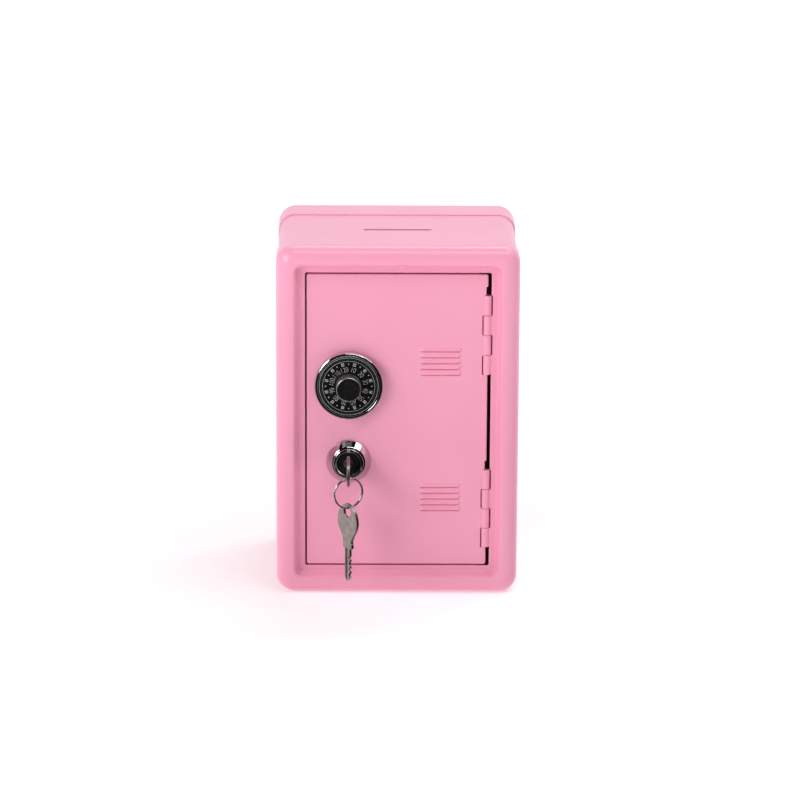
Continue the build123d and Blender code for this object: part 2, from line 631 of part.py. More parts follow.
# Cam: an arm from the tenon, cranked forward so that its tip passes just behind the frame's flange
crank_start, crank_end = CAM_CRANK
with BuildPart() as lock_cam:
    with BuildSketch(Plane((LOCK_X - CAM_WIDTH / 2, FRONT_Y, LOCK_Z), x_dir=(0, 0, -1), z_dir=(1, 0, 0))):
        with BuildLine():
            Polyline(
                (-CAM_WIDTH / 2, PLUG_END),
                (crank_start, PLUG_END),
                (crank_end, CAM_TIP_DEPTH),
                (CAM_REACH, CAM_TIP_DEPTH),
                (CAM_REACH, CAM_TIP_DEPTH + CAM_THICKNESS),
                (crank_end + CAM_BEND_SHIFT, CAM_TIP_DEPTH + CAM_THICKNESS),
                (crank_start + CAM_BEND_SHIFT, PLUG_END + CAM_THICKNESS),
                (-CAM_WIDTH / 2, PLUG_END + CAM_THICKNESS),
                close=True,
            )
        make_face()
    extrude(amount=CAM_WIDTH)
    fillet(lock_cam.edges().filter_by(Axis.Y), CAM_CORNER)
    with BuildSketch(facing(PLUG_END, LOCK_X, LOCK_Z)):
        Rectangle(CAM_SQUARE + 2 * LAP_GAP, CAM_SQUARE + 2 * LAP_GAP)
    extrude(amount=-CAM_THICKNESS, mode=Mode.SUBTRACT)
save(lock_cam.part, "lock_cam")

# Cam screw: a pan head with a cross slot, in the end of the plug
SCREW_SEAT = PLUG_END + CAM_THICKNESS
with BuildPart() as lock_cam_screw:
    with BuildSketch(facing(SCREW_SEAT, LOCK_X, LOCK_Z)):
        Circle(CAM_SCREW_RADIUS - LAP_GAP)
    extrude(amount=SCREW_SEAT - SCREW_START)
    with BuildSketch(facing(SCREW_SEAT, LOCK_X, LOCK_Z)):
        Circle(CAM_SCREW_HEAD)
    extrude(amount=-CAM_SCREW_RISE)
    fillet(lock_cam_screw.faces().sort_by(Axis.Y)[-1].edges(), CAM_SCREW_RISE / 2)
    with BuildSketch(facing(SCREW_SEAT + CROSS_SLOT_START, LOCK_X, LOCK_Z)):
        Rectangle(*CROSS_SLOT)
        Rectangle(*reversed(CROSS_SLOT))
    extrude(amount=-CAM_SCREW_RISE, mode=Mode.SUBTRACT)
save(lock_cam_screw.part, "lock_cam_screw")


def key(plane):
    """A flat key on a plane through its tip: the plane's first direction runs up the blade."""
    neck = BLADE_LENGTH + SHOULDER_LENGTH
    with BuildPart() as blank:
        with BuildSketch(plane):
            with BuildLine():
                flank = Spline(
                    (neck, NECK_WIDTH / 2), (BOW_MIDDLE, BOW_WIDTH / 2), tangents=((1, 0.15), (1, 0))
                )
                Spline(flank @ 1, (KEY_LENGTH, 0), tangents=((1, 0), (0, -1)))
                Polyline(
                    flank @ 0,
                    (neck - (SHOULDER_WIDTH - NECK_WIDTH) / 2, SHOULDER_WIDTH / 2),
                    (BLADE_LENGTH, SHOULDER_WIDTH / 2),
                    (BLADE_LENGTH, 0),
                )
                mirror(about=Plane.XZ)
            make_face()
            with Locations((KEY_LENGTH - KEY_HOLE_FROM_END, 0)):
                Circle(KEY_HOLE_RADIUS, mode=Mode.SUBTRACT)
        extrude(amount=KEY_THICKNESS / 2, both=True)
        with BuildSketch(plane):
            with BuildLine():
                Polyline(
                    (0, -TIP_WIDTH / 2),
                    (0, TIP_WIDTH / 2),
                    (TIP_LENGTH, BLADE_WIDTH / 2),
                    (BLADE_LENGTH + SHOULDER_LENGTH / 5, BLADE_WIDTH / 2),
                    (BLADE_LENGTH + SHOULDER_LENGTH / 5, -BLADE_WIDTH / 2),
                    (TIP_LENGTH, -BLADE_WIDTH / 2),
                    close=True,
                )
            make_face()
            for number, depth in enumerate(CUT_DEPTHS):
                with Locations((CUT_START + number * CUT_PITCH, -BLADE_WIDTH / 2)):
                    Trapezoid(CUT_WIDTH, 2 * depth, CUT_ANGLE, mode=Mode.SUBTRACT)
        extrude(amount=BLADE_THICKNESS / 2, both=True)
        for side_of_blade in (1, -1):
            with BuildSketch(plane.offset(side_of_blade * BLADE_THICKNESS / 2)):
                with Locations((BLADE_LENGTH / 2, GROOVE_OFFSET)):
                    Rectangle(BLADE_LENGTH + 2 * LAP_GAP, GROOVE_WIDTH)
            extrude(amount=-side_of_blade * GROOVE_DEPTH, mode=Mode.SUBTRACT)
    return blank.part


# The first key, in the lock: its blade points into the case and its bow stands upright
key_tip_depth = KEY_SHOULDER + BLADE_LENGTH
inserted = Plane((LOCK_X, FRONT_Y + key_tip_depth, LOCK_Z), x_dir=(0, -1, 0), z_dir=(-1, 0, 0))
save(key(inserted), "key_in_lock")

# The ring hangs from the first key's hole, and the second key from the ring, all on one vertical line
HANG_Y = FRONT_Y + HANG_DEPTH
REST_OFFSET = KEY_HOLE_RADIUS - WIRE_RADIUS - WIRE_CLEARANCE
RING_TOP_Z = LOCK_Z - REST_OFFSET
RING_BOTTOM_Z = RING_TOP_Z - 2 * RING_RADIUS
ring_angle = radians(RING_TURN)
ring_plane = Plane(
    (LOCK_X, HANG_Y, RING_TOP_Z - RING_RADIUS),
    x_dir=(cos(ring_angle), sin(ring_angle), 0),
    z_dir=(0, 0, 1),
)
with BuildPart() as key_ring:
    section = Plane(ring_plane.origin, x_dir=(0, 0, 1), z_dir=ring_plane.x_dir)
    with BuildSketch(section):
        with Locations((RING_RADIUS, 0)):
            SlotOverall(4 * WIRE_RADIUS, 2 * WIRE_RADIUS, rotation=90)
    revolve(axis=Axis(ring_plane.origin, ring_plane.y_dir))
save(key_ring.part, "key_ring")

spare_angle = radians(SPARE_KEY_TURN)
spare_tip_z = RING_BOTTOM_Z - REST_OFFSET - (KEY_LENGTH - KEY_HOLE_FROM_END)
hanging = Plane(
    (LOCK_X, HANG_Y, spare_tip_z),
    x_dir=(0, 0, 1),
    z_dir=(sin(spare_angle), -cos(spare_angle), 0),
)
save(key(hanging), "spare_key")
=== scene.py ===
"""Toy safe coin bank: a pink powder-coated steel case and door, a chromed number dial, a lock and two keys.

Shapes are worked out in millimetres on the case: x to the right, depth back from the case's front, z up.
"""

from math import cos, pi, radians, sin, tan

import bmesh
import bpy
import numpy as np
from mathutils import Matrix, Quaternion, Vector


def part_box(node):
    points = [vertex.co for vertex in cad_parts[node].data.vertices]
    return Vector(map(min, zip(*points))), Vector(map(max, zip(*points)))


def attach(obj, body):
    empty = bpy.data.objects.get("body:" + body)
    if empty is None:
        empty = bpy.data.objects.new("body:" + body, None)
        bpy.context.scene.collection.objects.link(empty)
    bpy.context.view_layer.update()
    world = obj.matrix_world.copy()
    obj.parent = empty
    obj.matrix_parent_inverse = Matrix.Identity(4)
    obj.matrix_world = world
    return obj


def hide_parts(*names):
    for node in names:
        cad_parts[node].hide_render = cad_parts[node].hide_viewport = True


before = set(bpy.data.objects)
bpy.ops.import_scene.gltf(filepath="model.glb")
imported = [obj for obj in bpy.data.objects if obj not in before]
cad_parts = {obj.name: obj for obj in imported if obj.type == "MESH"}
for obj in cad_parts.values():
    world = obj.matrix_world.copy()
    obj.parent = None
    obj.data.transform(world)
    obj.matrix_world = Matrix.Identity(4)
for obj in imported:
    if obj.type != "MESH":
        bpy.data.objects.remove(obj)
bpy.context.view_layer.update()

# --------------------------------------------------------------------------------------------------
# Front frame. One deep-drawn piece of 0.8 mm steel: a side wall, a big front bend, a flat ridge, a step
# down to the flange round the door, and an edge folded back into the case. Four knuckles are rolled from
# its right edge, and it is powder-coated pink.
# --------------------------------------------------------------------------------------------------
MM = 0.001
frame_low, frame_high = (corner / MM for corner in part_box("front_frame"))
CASE_FRONT = frame_low.y
HALF_WIDTH = frame_high.x
HEIGHT = frame_high.z
FRAME_DEPTH = frame_high.y - frame_low.y
STEEL = 0.8
CORNER_RADIUS = 9.0
BEND_RADIUS = 7.0
RIDGE_WIDTH = 9.0
STEP_END = 10.8
FLANGE_SPLIT = STEP_END + 0.95
FLANGE_DEPTH = 4.8
FLANGE_BACK = FLANGE_DEPTH + STEEL
RETURN_END = 9.8
RETURN_INNER_START = 6.0
OPENING = (-45.6, 46.0, 13.7, HEIGHT - 13.7)
BEND_CORNER, RIDGE_CORNER, STEP_CORNER, OPENING_CORNER = 2.0, 4.0, 2.5, 1.0
CORNER_STEPS = 12

# The hinges are measured from their pins: four knuckles share each pin's length, the door's first from
# the top
HINGES = [[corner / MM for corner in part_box(pin)] for pin in ("upper_hinge_pin", "lower_hinge_pin")]
HINGE_X = (HINGES[0][0].x + HINGES[0][1].x) / 2
HINGE_DEPTH = (HINGES[0][0].y + HINGES[0][1].y) / 2 - CASE_FRONT
KNUCKLE_LENGTH = (HINGES[0][1].z - HINGES[0][0].z) / 4
KNUCKLE_RADIUS = 2.0
KNUCKLE_BORE = 1.1
KNUCKLE_GAP = 0.2
KNUCKLE_EASE, KNUCKLE_BORE_EASE = 0.22, 0.1
FRAME_SLOT_EDGE = 46.6
FRAME_KNUCKLE_ROOT = HINGE_X + 1.0
HINGE_SIDE = OPENING[1] - KNUCKLE_RADIUS - 0.9
HAIR = 0.02


def place(x, depth, z):
    """Points of the row frame, in metres, from millimetres on the case."""
    x, depth, z = np.broadcast_arrays(x, depth, z)
    return np.stack([x * MM, (CASE_FRONT + depth) * MM, z * MM], axis=-1)


def bent(corners, steps=6, closed=False, flat=0.05):
    """A profile with its corners bent round: each corner is (first, second, radius).

    An arc touches both of its straights at radius x tan(half the turn) from the corner. One more point on
    each straight, a little way from the arc, keeps the straights flat. An open profile's ends stay."""
    corners = np.asarray(corners, float)
    points, ends = [], () if closed else (0, len(corners) - 1)
    for number, (first, second, radius) in enumerate(corners):
        corner = np.array([first, second])
        if number in ends or radius == 0:
            points.append(corner[None])
            continue
        before = corner - corners[number - 1, :2]
        after = corners[(number + 1) % len(corners), :2] - corner
        before, after = before / np.linalg.norm(before), after / np.linalg.norm(after)
        turn = np.arctan2(before[0] * after[1] - before[1] * after[0], before @ after)
        reach = radius * tan(abs(turn) / 2)
        inward = np.sign(turn) * np.array([-before[1], before[0]])
        centre = corner - before * reach + inward * radius
        angles = np.linspace(0, abs(turn), steps + 1)[:, None]
        arc = centre + radius * (np.sin(angles) * before - np.cos(angles) * inward)
        points += [arc[:1] - before * flat, arc, arc[-1:] + after * flat]
    return np.concatenate(points)


def loop(left, right, bottom, top, radius, across, up, right_side=None):
    """Once round a rounded rectangle from the bottom left, anticlockwise, as its x and z.

    The straights are cut at the places in across and up, kept within their ends, and a corner is a quarter
    circle. right_side gives the right straight its own x at each height in up."""
    quarter = np.linspace(0, pi / 2, CORNER_STEPS + 1)
    sine, cosine = radius * np.sin(quarter), radius * np.cos(quarter)
    across = np.clip(across, left + radius, right - radius)
    up = np.clip(up, bottom + radius, top - radius)
    level, upright = np.ones(len(across)), np.ones(len(up))
    right_side = right * upright if right_side is None else right_side
    x = [across, right - radius + sine, right_side, right - radius + cosine]
    x += [across[::-1], left + radius - sine, left * upright, left + radius - cosine]
    z = [bottom * level, bottom + radius - cosine, up, top - radius + sine]
    z += [top * level, top - radius + cosine, up[::-1], bottom + radius - sine]
    return np.concatenate(x), np.concatenate(z)


def skin(grid, round_rows=False, round_columns=False):
    """Quads over a grid of points, closed from the last row or column to the first where asked."""
    rows, columns = grid.shape[:2]
    number = np.arange(rows * columns).reshape(rows, columns)
    here_row = np.arange(rows if round_rows else rows - 1)[:, None]
    here_column = np.arange(columns if round_columns else columns - 1)[None]
    next_row, next_column = (here_row + 1) % rows, (here_column + 1) % columns
    corners = (
        number[here_row, here_column],
        number[here_row, next_column],
        number[next_row, next_column],
        number[next_row, here_column],
    )
    faces = np.stack(corners, axis=-1)
    return grid.reshape(-1, 3), faces.reshape(-1, 4)


def piece(name, skins, material, body, slot, *stands_for):
    """Joins skins into one piece: points that coincide are merged and the faces turned outwards."""
    starts = np.cumsum([0] + [len(points) for points, _ in skins])
    points = np.concatenate([points for points, _ in skins])
    faces = np.concatenate([faces + start for (_, faces), start in zip(skins, starts)])
    mesh = bpy.data.meshes.new(name)
    mesh.vertices.add(len(points))
    mesh.vertices.foreach_set("co", points.astype(np.float32).ravel())
    mesh.loops.add(faces.size)
    mesh.loops.foreach_set("vertex_index", faces.astype(np.int32).ravel())
    mesh.polygons.add(len(faces))
    mesh.polygons.foreach_set("loop_start", np.arange(0, faces.size, 4, dtype=np.int32))
    mesh.update(calc_edges=True)
    work = bmesh.new()
    work.from_mesh(mesh)
    bmesh.ops.remove_doubles(work, verts=work.verts, dist=2e-6)
    bmesh.ops.dissolve_degenerate(work, edges=work.edges, dist=1e-6)
    bmesh.ops.recalc_face_normals(work, faces=work.faces)
    work.to_mesh(mesh)
    work.free()
    mesh.shade_smooth()
    mesh.materials.append(material)
    made = bpy.data.objects.new(name, mesh)
    bpy.context.scene.collection.objects.link(made)
    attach(made, body)
    if stands_for:
        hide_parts(*stands_for)
    return made


def finish(name, colour, sockets):
    """A new material: a Principled shader with this base colour and these other fixed sockets."""
    material = bpy.data.materials.new(name)
    material.use_nodes = True
    shader = material.node_tree.nodes["Principled BSDF"]
    shader.inputs["Base Color"].default_value = (*colour, 1)
    for socket, value in sockets.items():
        shader.inputs[socket].default_value = value
    return material


def grain(material, scale, detail=2.0, stretch=(1, 1, 1)):
    """Noise on the piece's own coordinates, scale cells to the metre, finer along stretched axes."""
    nodes, links = material.node_tree.nodes, material.node_tree.links
    kinds = ("TexCoord", "Mapping", "TexNoise")
    where, mapping, noise = (nodes.new("ShaderNode" + kind) for kind in kinds)
    mapping.inputs["Scale"].default_value = stretch
    noise.inputs["Scale"].default_value = scale
    noise.inputs["Detail"].default_value = detail
    links.new(where.outputs["Object"], mapping.inputs["Vector"])
    links.new(mapping.outputs["Vector"], noise.inputs["Vector"])
    return noise.outputs[0]


def tint(material, source, first, second, low=0.35, high=0.65):
    """Lets the base colour run from one colour to another as the noise goes from low to high."""
    nodes, links = material.node_tree.nodes, material.node_tree.links
    ramp = nodes.new("ShaderNodeValToRGB")
    for element, place_on_ramp, colour in zip(ramp.color_ramp.elements, (low, high), (first, second)):
        element.position = place_on_ramp
        element.color = (*colour, 1)
    links.new(source, ramp.inputs["Fac"])
    links.new(ramp.outputs["Color"], nodes["Principled BSDF"].inputs["Base Color"])


def roughen(material, source, smooth, rough):
    """Lets the roughness run between two values with the noise."""
    nodes, links = material.node_tree.nodes, material.node_tree.links
    spread = nodes.new("ShaderNodeMapRange")
    for socket, value in {"From Min": 0.3, "From Max": 0.7, "To Min": smooth, "To Max": rough}.items():
        spread.inputs[socket].default_value = value
    links.new(source, spread.inputs["Value"])
    links.new(spread.outputs["Result"], nodes["Principled BSDF"].inputs["Roughness"])


def relief(material, source, height):
    """Raises the surface by the noise, height metres at the most, on top of any relief that it has."""
    nodes, links = material.node_tree.nodes, material.node_tree.links
    normal = nodes["Principled BSDF"].inputs["Normal"]
    bump = nodes.new("ShaderNodeBump")
    bump.inputs["Distance"].default_value = height
    if normal.links:
        links.new(normal.links[0].from_socket, bump.inputs["Normal"])
    links.new(source, bump.inputs["Height"])
    links.new(bump.outputs["Normal"], normal)


def powder_coat():
    """Pink powder coat: semi-gloss, with a fine orange peel and a very slight drift of shade."""
    semi_gloss = {"Roughness": 0.31, "Specular IOR Level": 0.62}
    material = finish("pink_powder_coat", (0.94, 0.37, 0.53), semi_gloss)
    tint(material, grain(material, 18, 3), (0.935, 0.362, 0.522), (0.945, 0.378, 0.538))
    roughen(material, grain(material, 45, 4), 0.28, 0.34)
    relief(material, grain(material, 620, 1.5), 0.000022)
    relief(material, grain(material, 2600, 1), 0.0000025)
    return material


def corner_of_case(inset):
    """The corner radius at an inset: smaller round the front bend, larger at the ridge's inner edge."""
    radii = (CORNER_RADIUS, BEND_CORNER, RIDGE_CORNER, STEP_CORNER)
    return np.interp(inset, (0, BEND_RADIUS, RIDGE_WIDTH, STEP_END), radii)


def round_case(profile, across, up, corner=corner_of_case):
    """A profile of (inset, depth) points carried round the case as rounded rectangles."""
    rows = []
    for inset, depth in profile:
        side = HALF_WIDTH - inset
        x, z = loop(-side, side, inset, HEIGHT - inset, corner(inset), across, up)
        rows.append(place(x, depth, z))
    return np.stack(rows)


def knuckle_spans(first):
    """The bottom and top of every second knuckle on both pins, from number first, less their gaps."""
    tops = [high.z - number * KNUCKLE_LENGTH for _, high in HINGES for number in range(first, 4, 2)]
    return [(top - KNUCKLE_LENGTH + KNUCKLE_GAP / 2, top - KNUCKLE_GAP / 2) for top in tops]


def knuckle(low, high):
    """A knuckle: a closed section from bore to outside, its edges eased, carried round the pin."""
    corners = [
        (KNUCKLE_BORE, low, KNUCKLE_BORE_EASE),
        (KNUCKLE_RADIUS, low, KNUCKLE_EASE),
        (KNUCKLE_RADIUS, high, KNUCKLE_EASE),
        (KNUCKLE_BORE, high, KNUCKLE_BORE_EASE),
    ]
    section = bent(corners, steps=3, closed=True)
    angle = np.linspace(0, 2 * pi, 48, endpoint=False)
    radius, level = section[:, :1], section[:, 1:]
    grid = place(HINGE_X + radius * np.cos(angle), HINGE_DEPTH + radius * np.sin(angle), level)
    return skin(grid, True, True)


def edge_by_height(up, usual, *changes):
    """An upright edge's x at each height: the usual one, but another in the spans of each change."""
    edge = np.full(len(up), usual)
    for spans, x in changes:
        for low, high in spans:
            edge[(up > low) & (up < high)] = x
    return edge


def slots_beside(spans):
    """The spans with the gaps at both their ends."""
    return [(low - KNUCKLE_GAP / 2, high + KNUCKLE_GAP / 2) for low, high in spans]


def both_sides_of(spans):
    """Heights just inside and just outside both ends of each span, where an edge steps sideways."""
    ends = np.array(spans).ravel()
    return np.concatenate([ends - HAIR, ends + HAIR])


DOOR_SPANS, FRAME_SPANS = knuckle_spans(0), knuckle_spans(1)
knuckle_ends = both_sides_of(slots_beside(DOOR_SPANS + FRAME_SPANS))
up = np.unique(np.concatenate([np.linspace(4, HEIGHT - 4, 60), knuckle_ends]))
across = np.linspace(-56, 56, 40)
outside = bent(
    [
        (STEEL / 2, FRAME_DEPTH, 0),
        (0, FRAME_DEPTH, 0.2),
        (0, 0, BEND_RADIUS),
        (RIDGE_WIDTH, 0, 1.2),
        (STEP_END, FLANGE_DEPTH, 1.0),
        (FLANGE_SPLIT, FLANGE_DEPTH, 0),
    ],
    steps=10,
)
inside = bent(
    [
        (FLANGE_SPLIT, FLANGE_BACK, 0),
        (STEP_END - 0.55, FLANGE_BACK, 1.8),
        (RIDGE_WIDTH - 0.55, STEEL, 0.4),
        (STEEL, STEEL, BEND_RADIUS - STEEL),
        (STEEL, FRAME_DEPTH, 0.2),
        (STEEL / 2, FRAME_DEPTH, 0),
    ],
    steps=10,
)
# The edge of the opening: how far it lies outside the opening, and its depth, round the fold and back
fold = bent(
    [
        (1.0, FLANGE_DEPTH, 0),
        (0, FLANGE_DEPTH, 0.35),
        (0, RETURN_END, 0.3),
        (STEEL, RETURN_END, 0.3),
        (STEEL, RETURN_INNER_START, 0),
    ],
    steps=4,
)
opening_edge = edge_by_height(
    up, OPENING[1], (slots_beside(DOOR_SPANS), FRAME_SLOT_EDGE), (FRAME_SPANS, FRAME_KNUCKLE_ROOT)
)
# Beside the hinge there is no room for the fold, so the edge ends at the flange's back
fold_rows = []
for outwards, depth in fold:
    left, right, bottom, top = OPENING
    x, z = loop(
        left - outwards, right + outwards, bottom - outwards, top + outwards, OPENING_CORNER + outwards,
        across, up, opening_edge + outwards,
    )
    depths = np.where(x > HINGE_SIDE, min(depth, FLANGE_BACK), depth)
    fold_rows.append(place(x, depths, z))
frame_grid = np.concatenate(
    [round_case(outside, across, up), np.stack(fold_rows), round_case(inside, across, up)]
)

pink_paint = powder_coat()
frame_skins = [skin(frame_grid, True, True)] + [knuckle(low, high) for low, high in FRAME_SPANS]
piece("front_frame_shell", frame_skins, pink_paint, "case", "pink_paint", "front_frame")

# --------------------------------------------------------------------------------------------------
# Sleeve. A wrap of the same painted steel between the frame and the rear shell, one sheet's thickness
# smaller. The coin slot is punched in its top, and the punched edge is rolled over.
# --------------------------------------------------------------------------------------------------
sleeve_low, sleeve_high = (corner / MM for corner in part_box("body_sleeve"))
SLEEVE_FRONT, SLEEVE_END = sleeve_low.y - CASE_FRONT, sleeve_high.y - CASE_FRONT
SLEEVE_INSET = HALF_WIDTH - sleeve_high.x
SLEEVE_CORNER = CORNER_RADIUS - SLEEVE_INSET
SLOT_HALF_LENGTH = 17.0
SLOT_HALF_WIDTH = 1.5
SLOT_DEPTH = 42.0
SLOT_END_RADIUS = 1.3
SLOT_MARGIN = 1.0
SLOT_EDGE_RADIUS = 0.35
SLOT_CURL = 0.5

sleeve_flat = HALF_WIDTH - CORNER_RADIUS
# One more row close to each end keeps the wrap flat up to its ends
NEAR_END = 0.25
sleeve_depths = np.linspace(SLEEVE_FRONT, SLEEVE_END, 14)
sleeve_depths = np.insert(sleeve_depths, (1, -1), (SLEEVE_FRONT + NEAR_END, SLEEVE_END - NEAR_END))
SLOT_COLUMNS = 30
slot_columns = np.linspace(-SLOT_HALF_LENGTH, SLOT_HALF_LENGTH, SLOT_COLUMNS)
slot_rows = SLOT_DEPTH + np.linspace(-0.2, 0.2, len(sleeve_depths))
top_columns = np.linspace(-sleeve_flat, sleeve_flat, SLOT_COLUMNS)


def sleeve_wrap(inset, corner):
    """The sleeve from the top's right end down, under and up to the top's left end: columns go round it and
    rows back in depth."""
    columns = np.linspace(-sleeve_flat, sleeve_flat, 12)
    rows = np.linspace(CORNER_RADIUS, HEIGHT - CORNER_RADIUS, 24)
    side = HALF_WIDTH - inset
    x, z = loop(-side, side, inset, HEIGHT - inset, corner, columns, rows)
    top_flat = (z > HEIGHT - inset - 1e-6) & (abs(x) < sleeve_flat + 1e-6)
    first = np.flatnonzero(top_flat)[-1]
    x, z = np.roll(x, -first), np.roll(z, -first)
    keep = len(x) - np.count_nonzero(top_flat) + 2
    return place(x[None, :keep], sleeve_depths[:, None], z[None, :keep])


def top_ring(grow, share, level):
    """A ring on the sleeve's top: the slot's outline, grown, and moved by a share of the way towards the
    outline of the whole top."""
    end, edge = SLOT_HALF_LENGTH + grow, SLOT_HALF_WIDTH + grow
    x_slot, d_slot = loop(
        -end, end, SLOT_DEPTH - edge, SLOT_DEPTH + edge, SLOT_END_RADIUS + grow, slot_columns, slot_rows
    )
    x_top, d_top = loop(-sleeve_flat, sleeve_flat, SLEEVE_FRONT, SLEEVE_END, 0, top_columns, sleeve_depths)
    return place(x_slot + share * (x_top - x_slot), d_slot + share * (d_top - d_slot), level)


top_out, top_in = HEIGHT - SLEEVE_INSET, HEIGHT - SLEEVE_INSET - STEEL
slot_edge = bent(
    [
        (SLOT_MARGIN, top_out, 0),
        (0, top_out, SLOT_EDGE_RADIUS),
        (0, top_in - 0.6, 0.1),
        (SLOT_CURL, top_in - 0.6, 0.1),
        (SLOT_CURL, top_in, 0),
    ]
)
top_rings = [top_ring(SLOT_MARGIN, share, top_out) for share in (1.0, 0.99, 0.4)]
top_rings += [top_ring(grow, 0, level) for grow, level in slot_edge]
top_rings += [top_ring(SLOT_MARGIN, share, top_in) for share in (0.4, 1.0)]
both_levels = np.array([top_in, top_out])
sleeve_ends = [skin(place(top_columns[:, None], depth, both_levels)) for depth in (SLEEVE_FRONT, SLEEVE_END)]
wrap_out = sleeve_wrap(SLEEVE_INSET, SLEEVE_CORNER)
wrap_in = sleeve_wrap(SLEEVE_INSET + STEEL, SLEEVE_CORNER - STEEL)
wrap = skin(np.concatenate([wrap_out, wrap_in[::-1]]), True, False)
sleeve_skins = [wrap, skin(np.stack(top_rings), False, True)]
piece("body_sleeve_wrap", sleeve_skins + sleeve_ends, pink_paint, "case", "pink_paint", "body_sleeve")

# --------------------------------------------------------------------------------------------------
# Rear shell. A drawn pan of painted steel with the same outside as the frame: side wall, bend and flat
# back in one piece. It slides over the sleeve's back end, and its front edge is eased down onto the
# sleeve.
# --------------------------------------------------------------------------------------------------
shell_low, shell_high = (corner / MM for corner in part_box("rear_shell"))
SHELL_FRONT, CASE_DEPTH = shell_low.y - CASE_FRONT, shell_high.y - CASE_FRONT


def corner_of_shell(inset):
    """The corner radius shrinks with the inset round the back bend, and is then small and steady."""
    return CORNER_RADIUS - inset if inset < BEND_RADIUS else min(BEND_CORNER, HALF_WIDTH - inset)


shell_outside = bent(
    [
        (STEEL - 0.05, SHELL_FRONT, 0),
        (STEEL - 0.3, SHELL_FRONT, 0.15),
        (0, SHELL_FRONT + 1.4, 2.4),
        (0, CASE_DEPTH, BEND_RADIUS),
        (HALF_WIDTH, CASE_DEPTH, 0),
    ],
    steps=10,
)
shell_inside = bent(
    [
        (HALF_WIDTH, CASE_DEPTH - STEEL, 0),
        (STEEL, CASE_DEPTH - STEEL, BEND_RADIUS - STEEL),
        (STEEL, SHELL_FRONT, 0),
        (STEEL - 0.05, SHELL_FRONT, 0),
    ],
    steps=10,
)
shell_halves = (shell_outside, shell_inside)
shell_skins = [skin(round_case(half, across, up, corner_of_shell), False, True) for half in shell_halves]
piece("rear_shell_pan", shell_skins, pink_paint, "case", "pink_paint", "rear_shell")

# --------------------------------------------------------------------------------------------------
# Door. One pressed sheet of painted steel: a flat face level with the flange, a rim folded back all
# round, two groups of five louvres lanced out of it with a slit under each, and four knuckles rolled from
# its right edge.
# --------------------------------------------------------------------------------------------------
DOOR = (-44.8, 44.3, 14.5, HEIGHT - 14.5)
DOOR_RIM_X = 41.7
DOOR_RIM_END = 9.8
DOOR_NOTCH_X = 43.5
DOOR_NOTCH_HEIGHT = 4.5
DOOR_CORNER = 1.0
DOOR_KNUCKLE_ROOT = HINGE_X - 1.2
DOOR_ROWS_MARGIN = 0.6
LOUVRE_LEFT, LOUVRE_RIGHT = 11.9, 30.9
LOUVRE_TOPS = (126.4, 56.6)
LOUVRE_PITCH = 3.0
LOUVRE_COUNT = 5
LOUVRE_RISE = 0.7
LOUVRE_END_LENGTH = 1.3
LOUVRE_MIDDLE = 1.2
LOUVRE_REACH = 1.6
INNER_FACE_SHARE = 0.8

# A louvre's section from its top edge down: distance down, and height out of the sheet
louvre = bent(
    [
        (-0.25, 0, 0),
        (0.15, 0, 1.4),
        (1.75, LOUVRE_RISE, 0.2),
        (1.8, -0.55, 0.1),
        (2.4, -0.55, 0.1),
        (2.42, 0, 0.1),
        (2.7, 0, 0),
    ],
    steps=5,
    flat=HAIR,
)

notch_spans = [(high.z - KNUCKLE_GAP / 2, high.z + DOOR_NOTCH_HEIGHT) for _, high in HINGES]
bottoms = np.array(LOUVRE_TOPS)[:, None] - LOUVRE_PITCH * np.arange(LOUVRE_COUNT)
louvre_z = (bottoms.ravel()[:, None] - louvre[::-1, 0]).ravel()
louvre_rise = np.tile(louvre[::-1, 1], bottoms.size)
even_z = np.linspace(DOOR[2] + DOOR_ROWS_MARGIN, DOOR[3] - DOOR_ROWS_MARGIN, 50)
door_levels = np.concatenate([even_z, knuckle_ends, both_sides_of(notch_spans)])
from_louvre = np.abs(door_levels[:, None] - (bottoms.ravel() - LOUVRE_MIDDLE)).min(axis=1)
plain_z = np.unique(door_levels[from_louvre >= LOUVRE_REACH])
door_z = np.concatenate([plain_z, louvre_z])
door_rise = np.concatenate([np.zeros(len(plain_z)), louvre_rise])
from_bottom = np.argsort(door_z, kind="stable")
door_z, door_rise = door_z[from_bottom], door_rise[from_bottom]
near_end = LOUVRE_END_LENGTH * (1 - np.cos(np.linspace(0, pi / 2, 9)))
columns = np.unique(
    np.concatenate(
        [
            np.linspace(DOOR[0] + 3, LOUVRE_LEFT - 1, 12),
            LOUVRE_LEFT + near_end,
            np.linspace(LOUVRE_LEFT + 2, LOUVRE_RIGHT - 2, 12),
            LOUVRE_RIGHT - near_end,
            np.linspace(LOUVRE_RIGHT + 1, 38.0, 4),
        ]
    )
)
from_end = np.clip(np.minimum(columns - LOUVRE_LEFT, LOUVRE_RIGHT - columns) / LOUVRE_END_LENGTH, 0, 1)
strength = np.sqrt(1 - (1 - from_end) ** 2)


def door_face(depth, rise, left, right_side, bottom, top):
    """A face of the door's sheet: rows at door_z by columns, raised by each row's rise times the louvre's
    strength at each column, which falls to nothing at its ends as a quarter circle does."""
    x = np.concatenate([[left], columns, [0]])[None] * np.ones((len(door_z), 1))
    x[:, -1] = right_side
    amount = np.concatenate([[0], strength, [0]])[None]
    grid = place(x, depth - amount * rise[:, None], np.clip(door_z, bottom, top)[:, None])
    below, above = grid[:1].copy(), grid[-1:].copy()
    below[..., 2], above[..., 2] = bottom * MM, top * MM
    return skin(np.concatenate([below, grid, above]))


door_edge = edge_by_height(
    door_z,
    DOOR[1],
    (notch_spans, DOOR_NOTCH_X),
    (slots_beside(FRAME_SPANS), DOOR_RIM_X),
    (slots_beside(DOOR_SPANS), DOOR_KNUCKLE_ROOT),
)
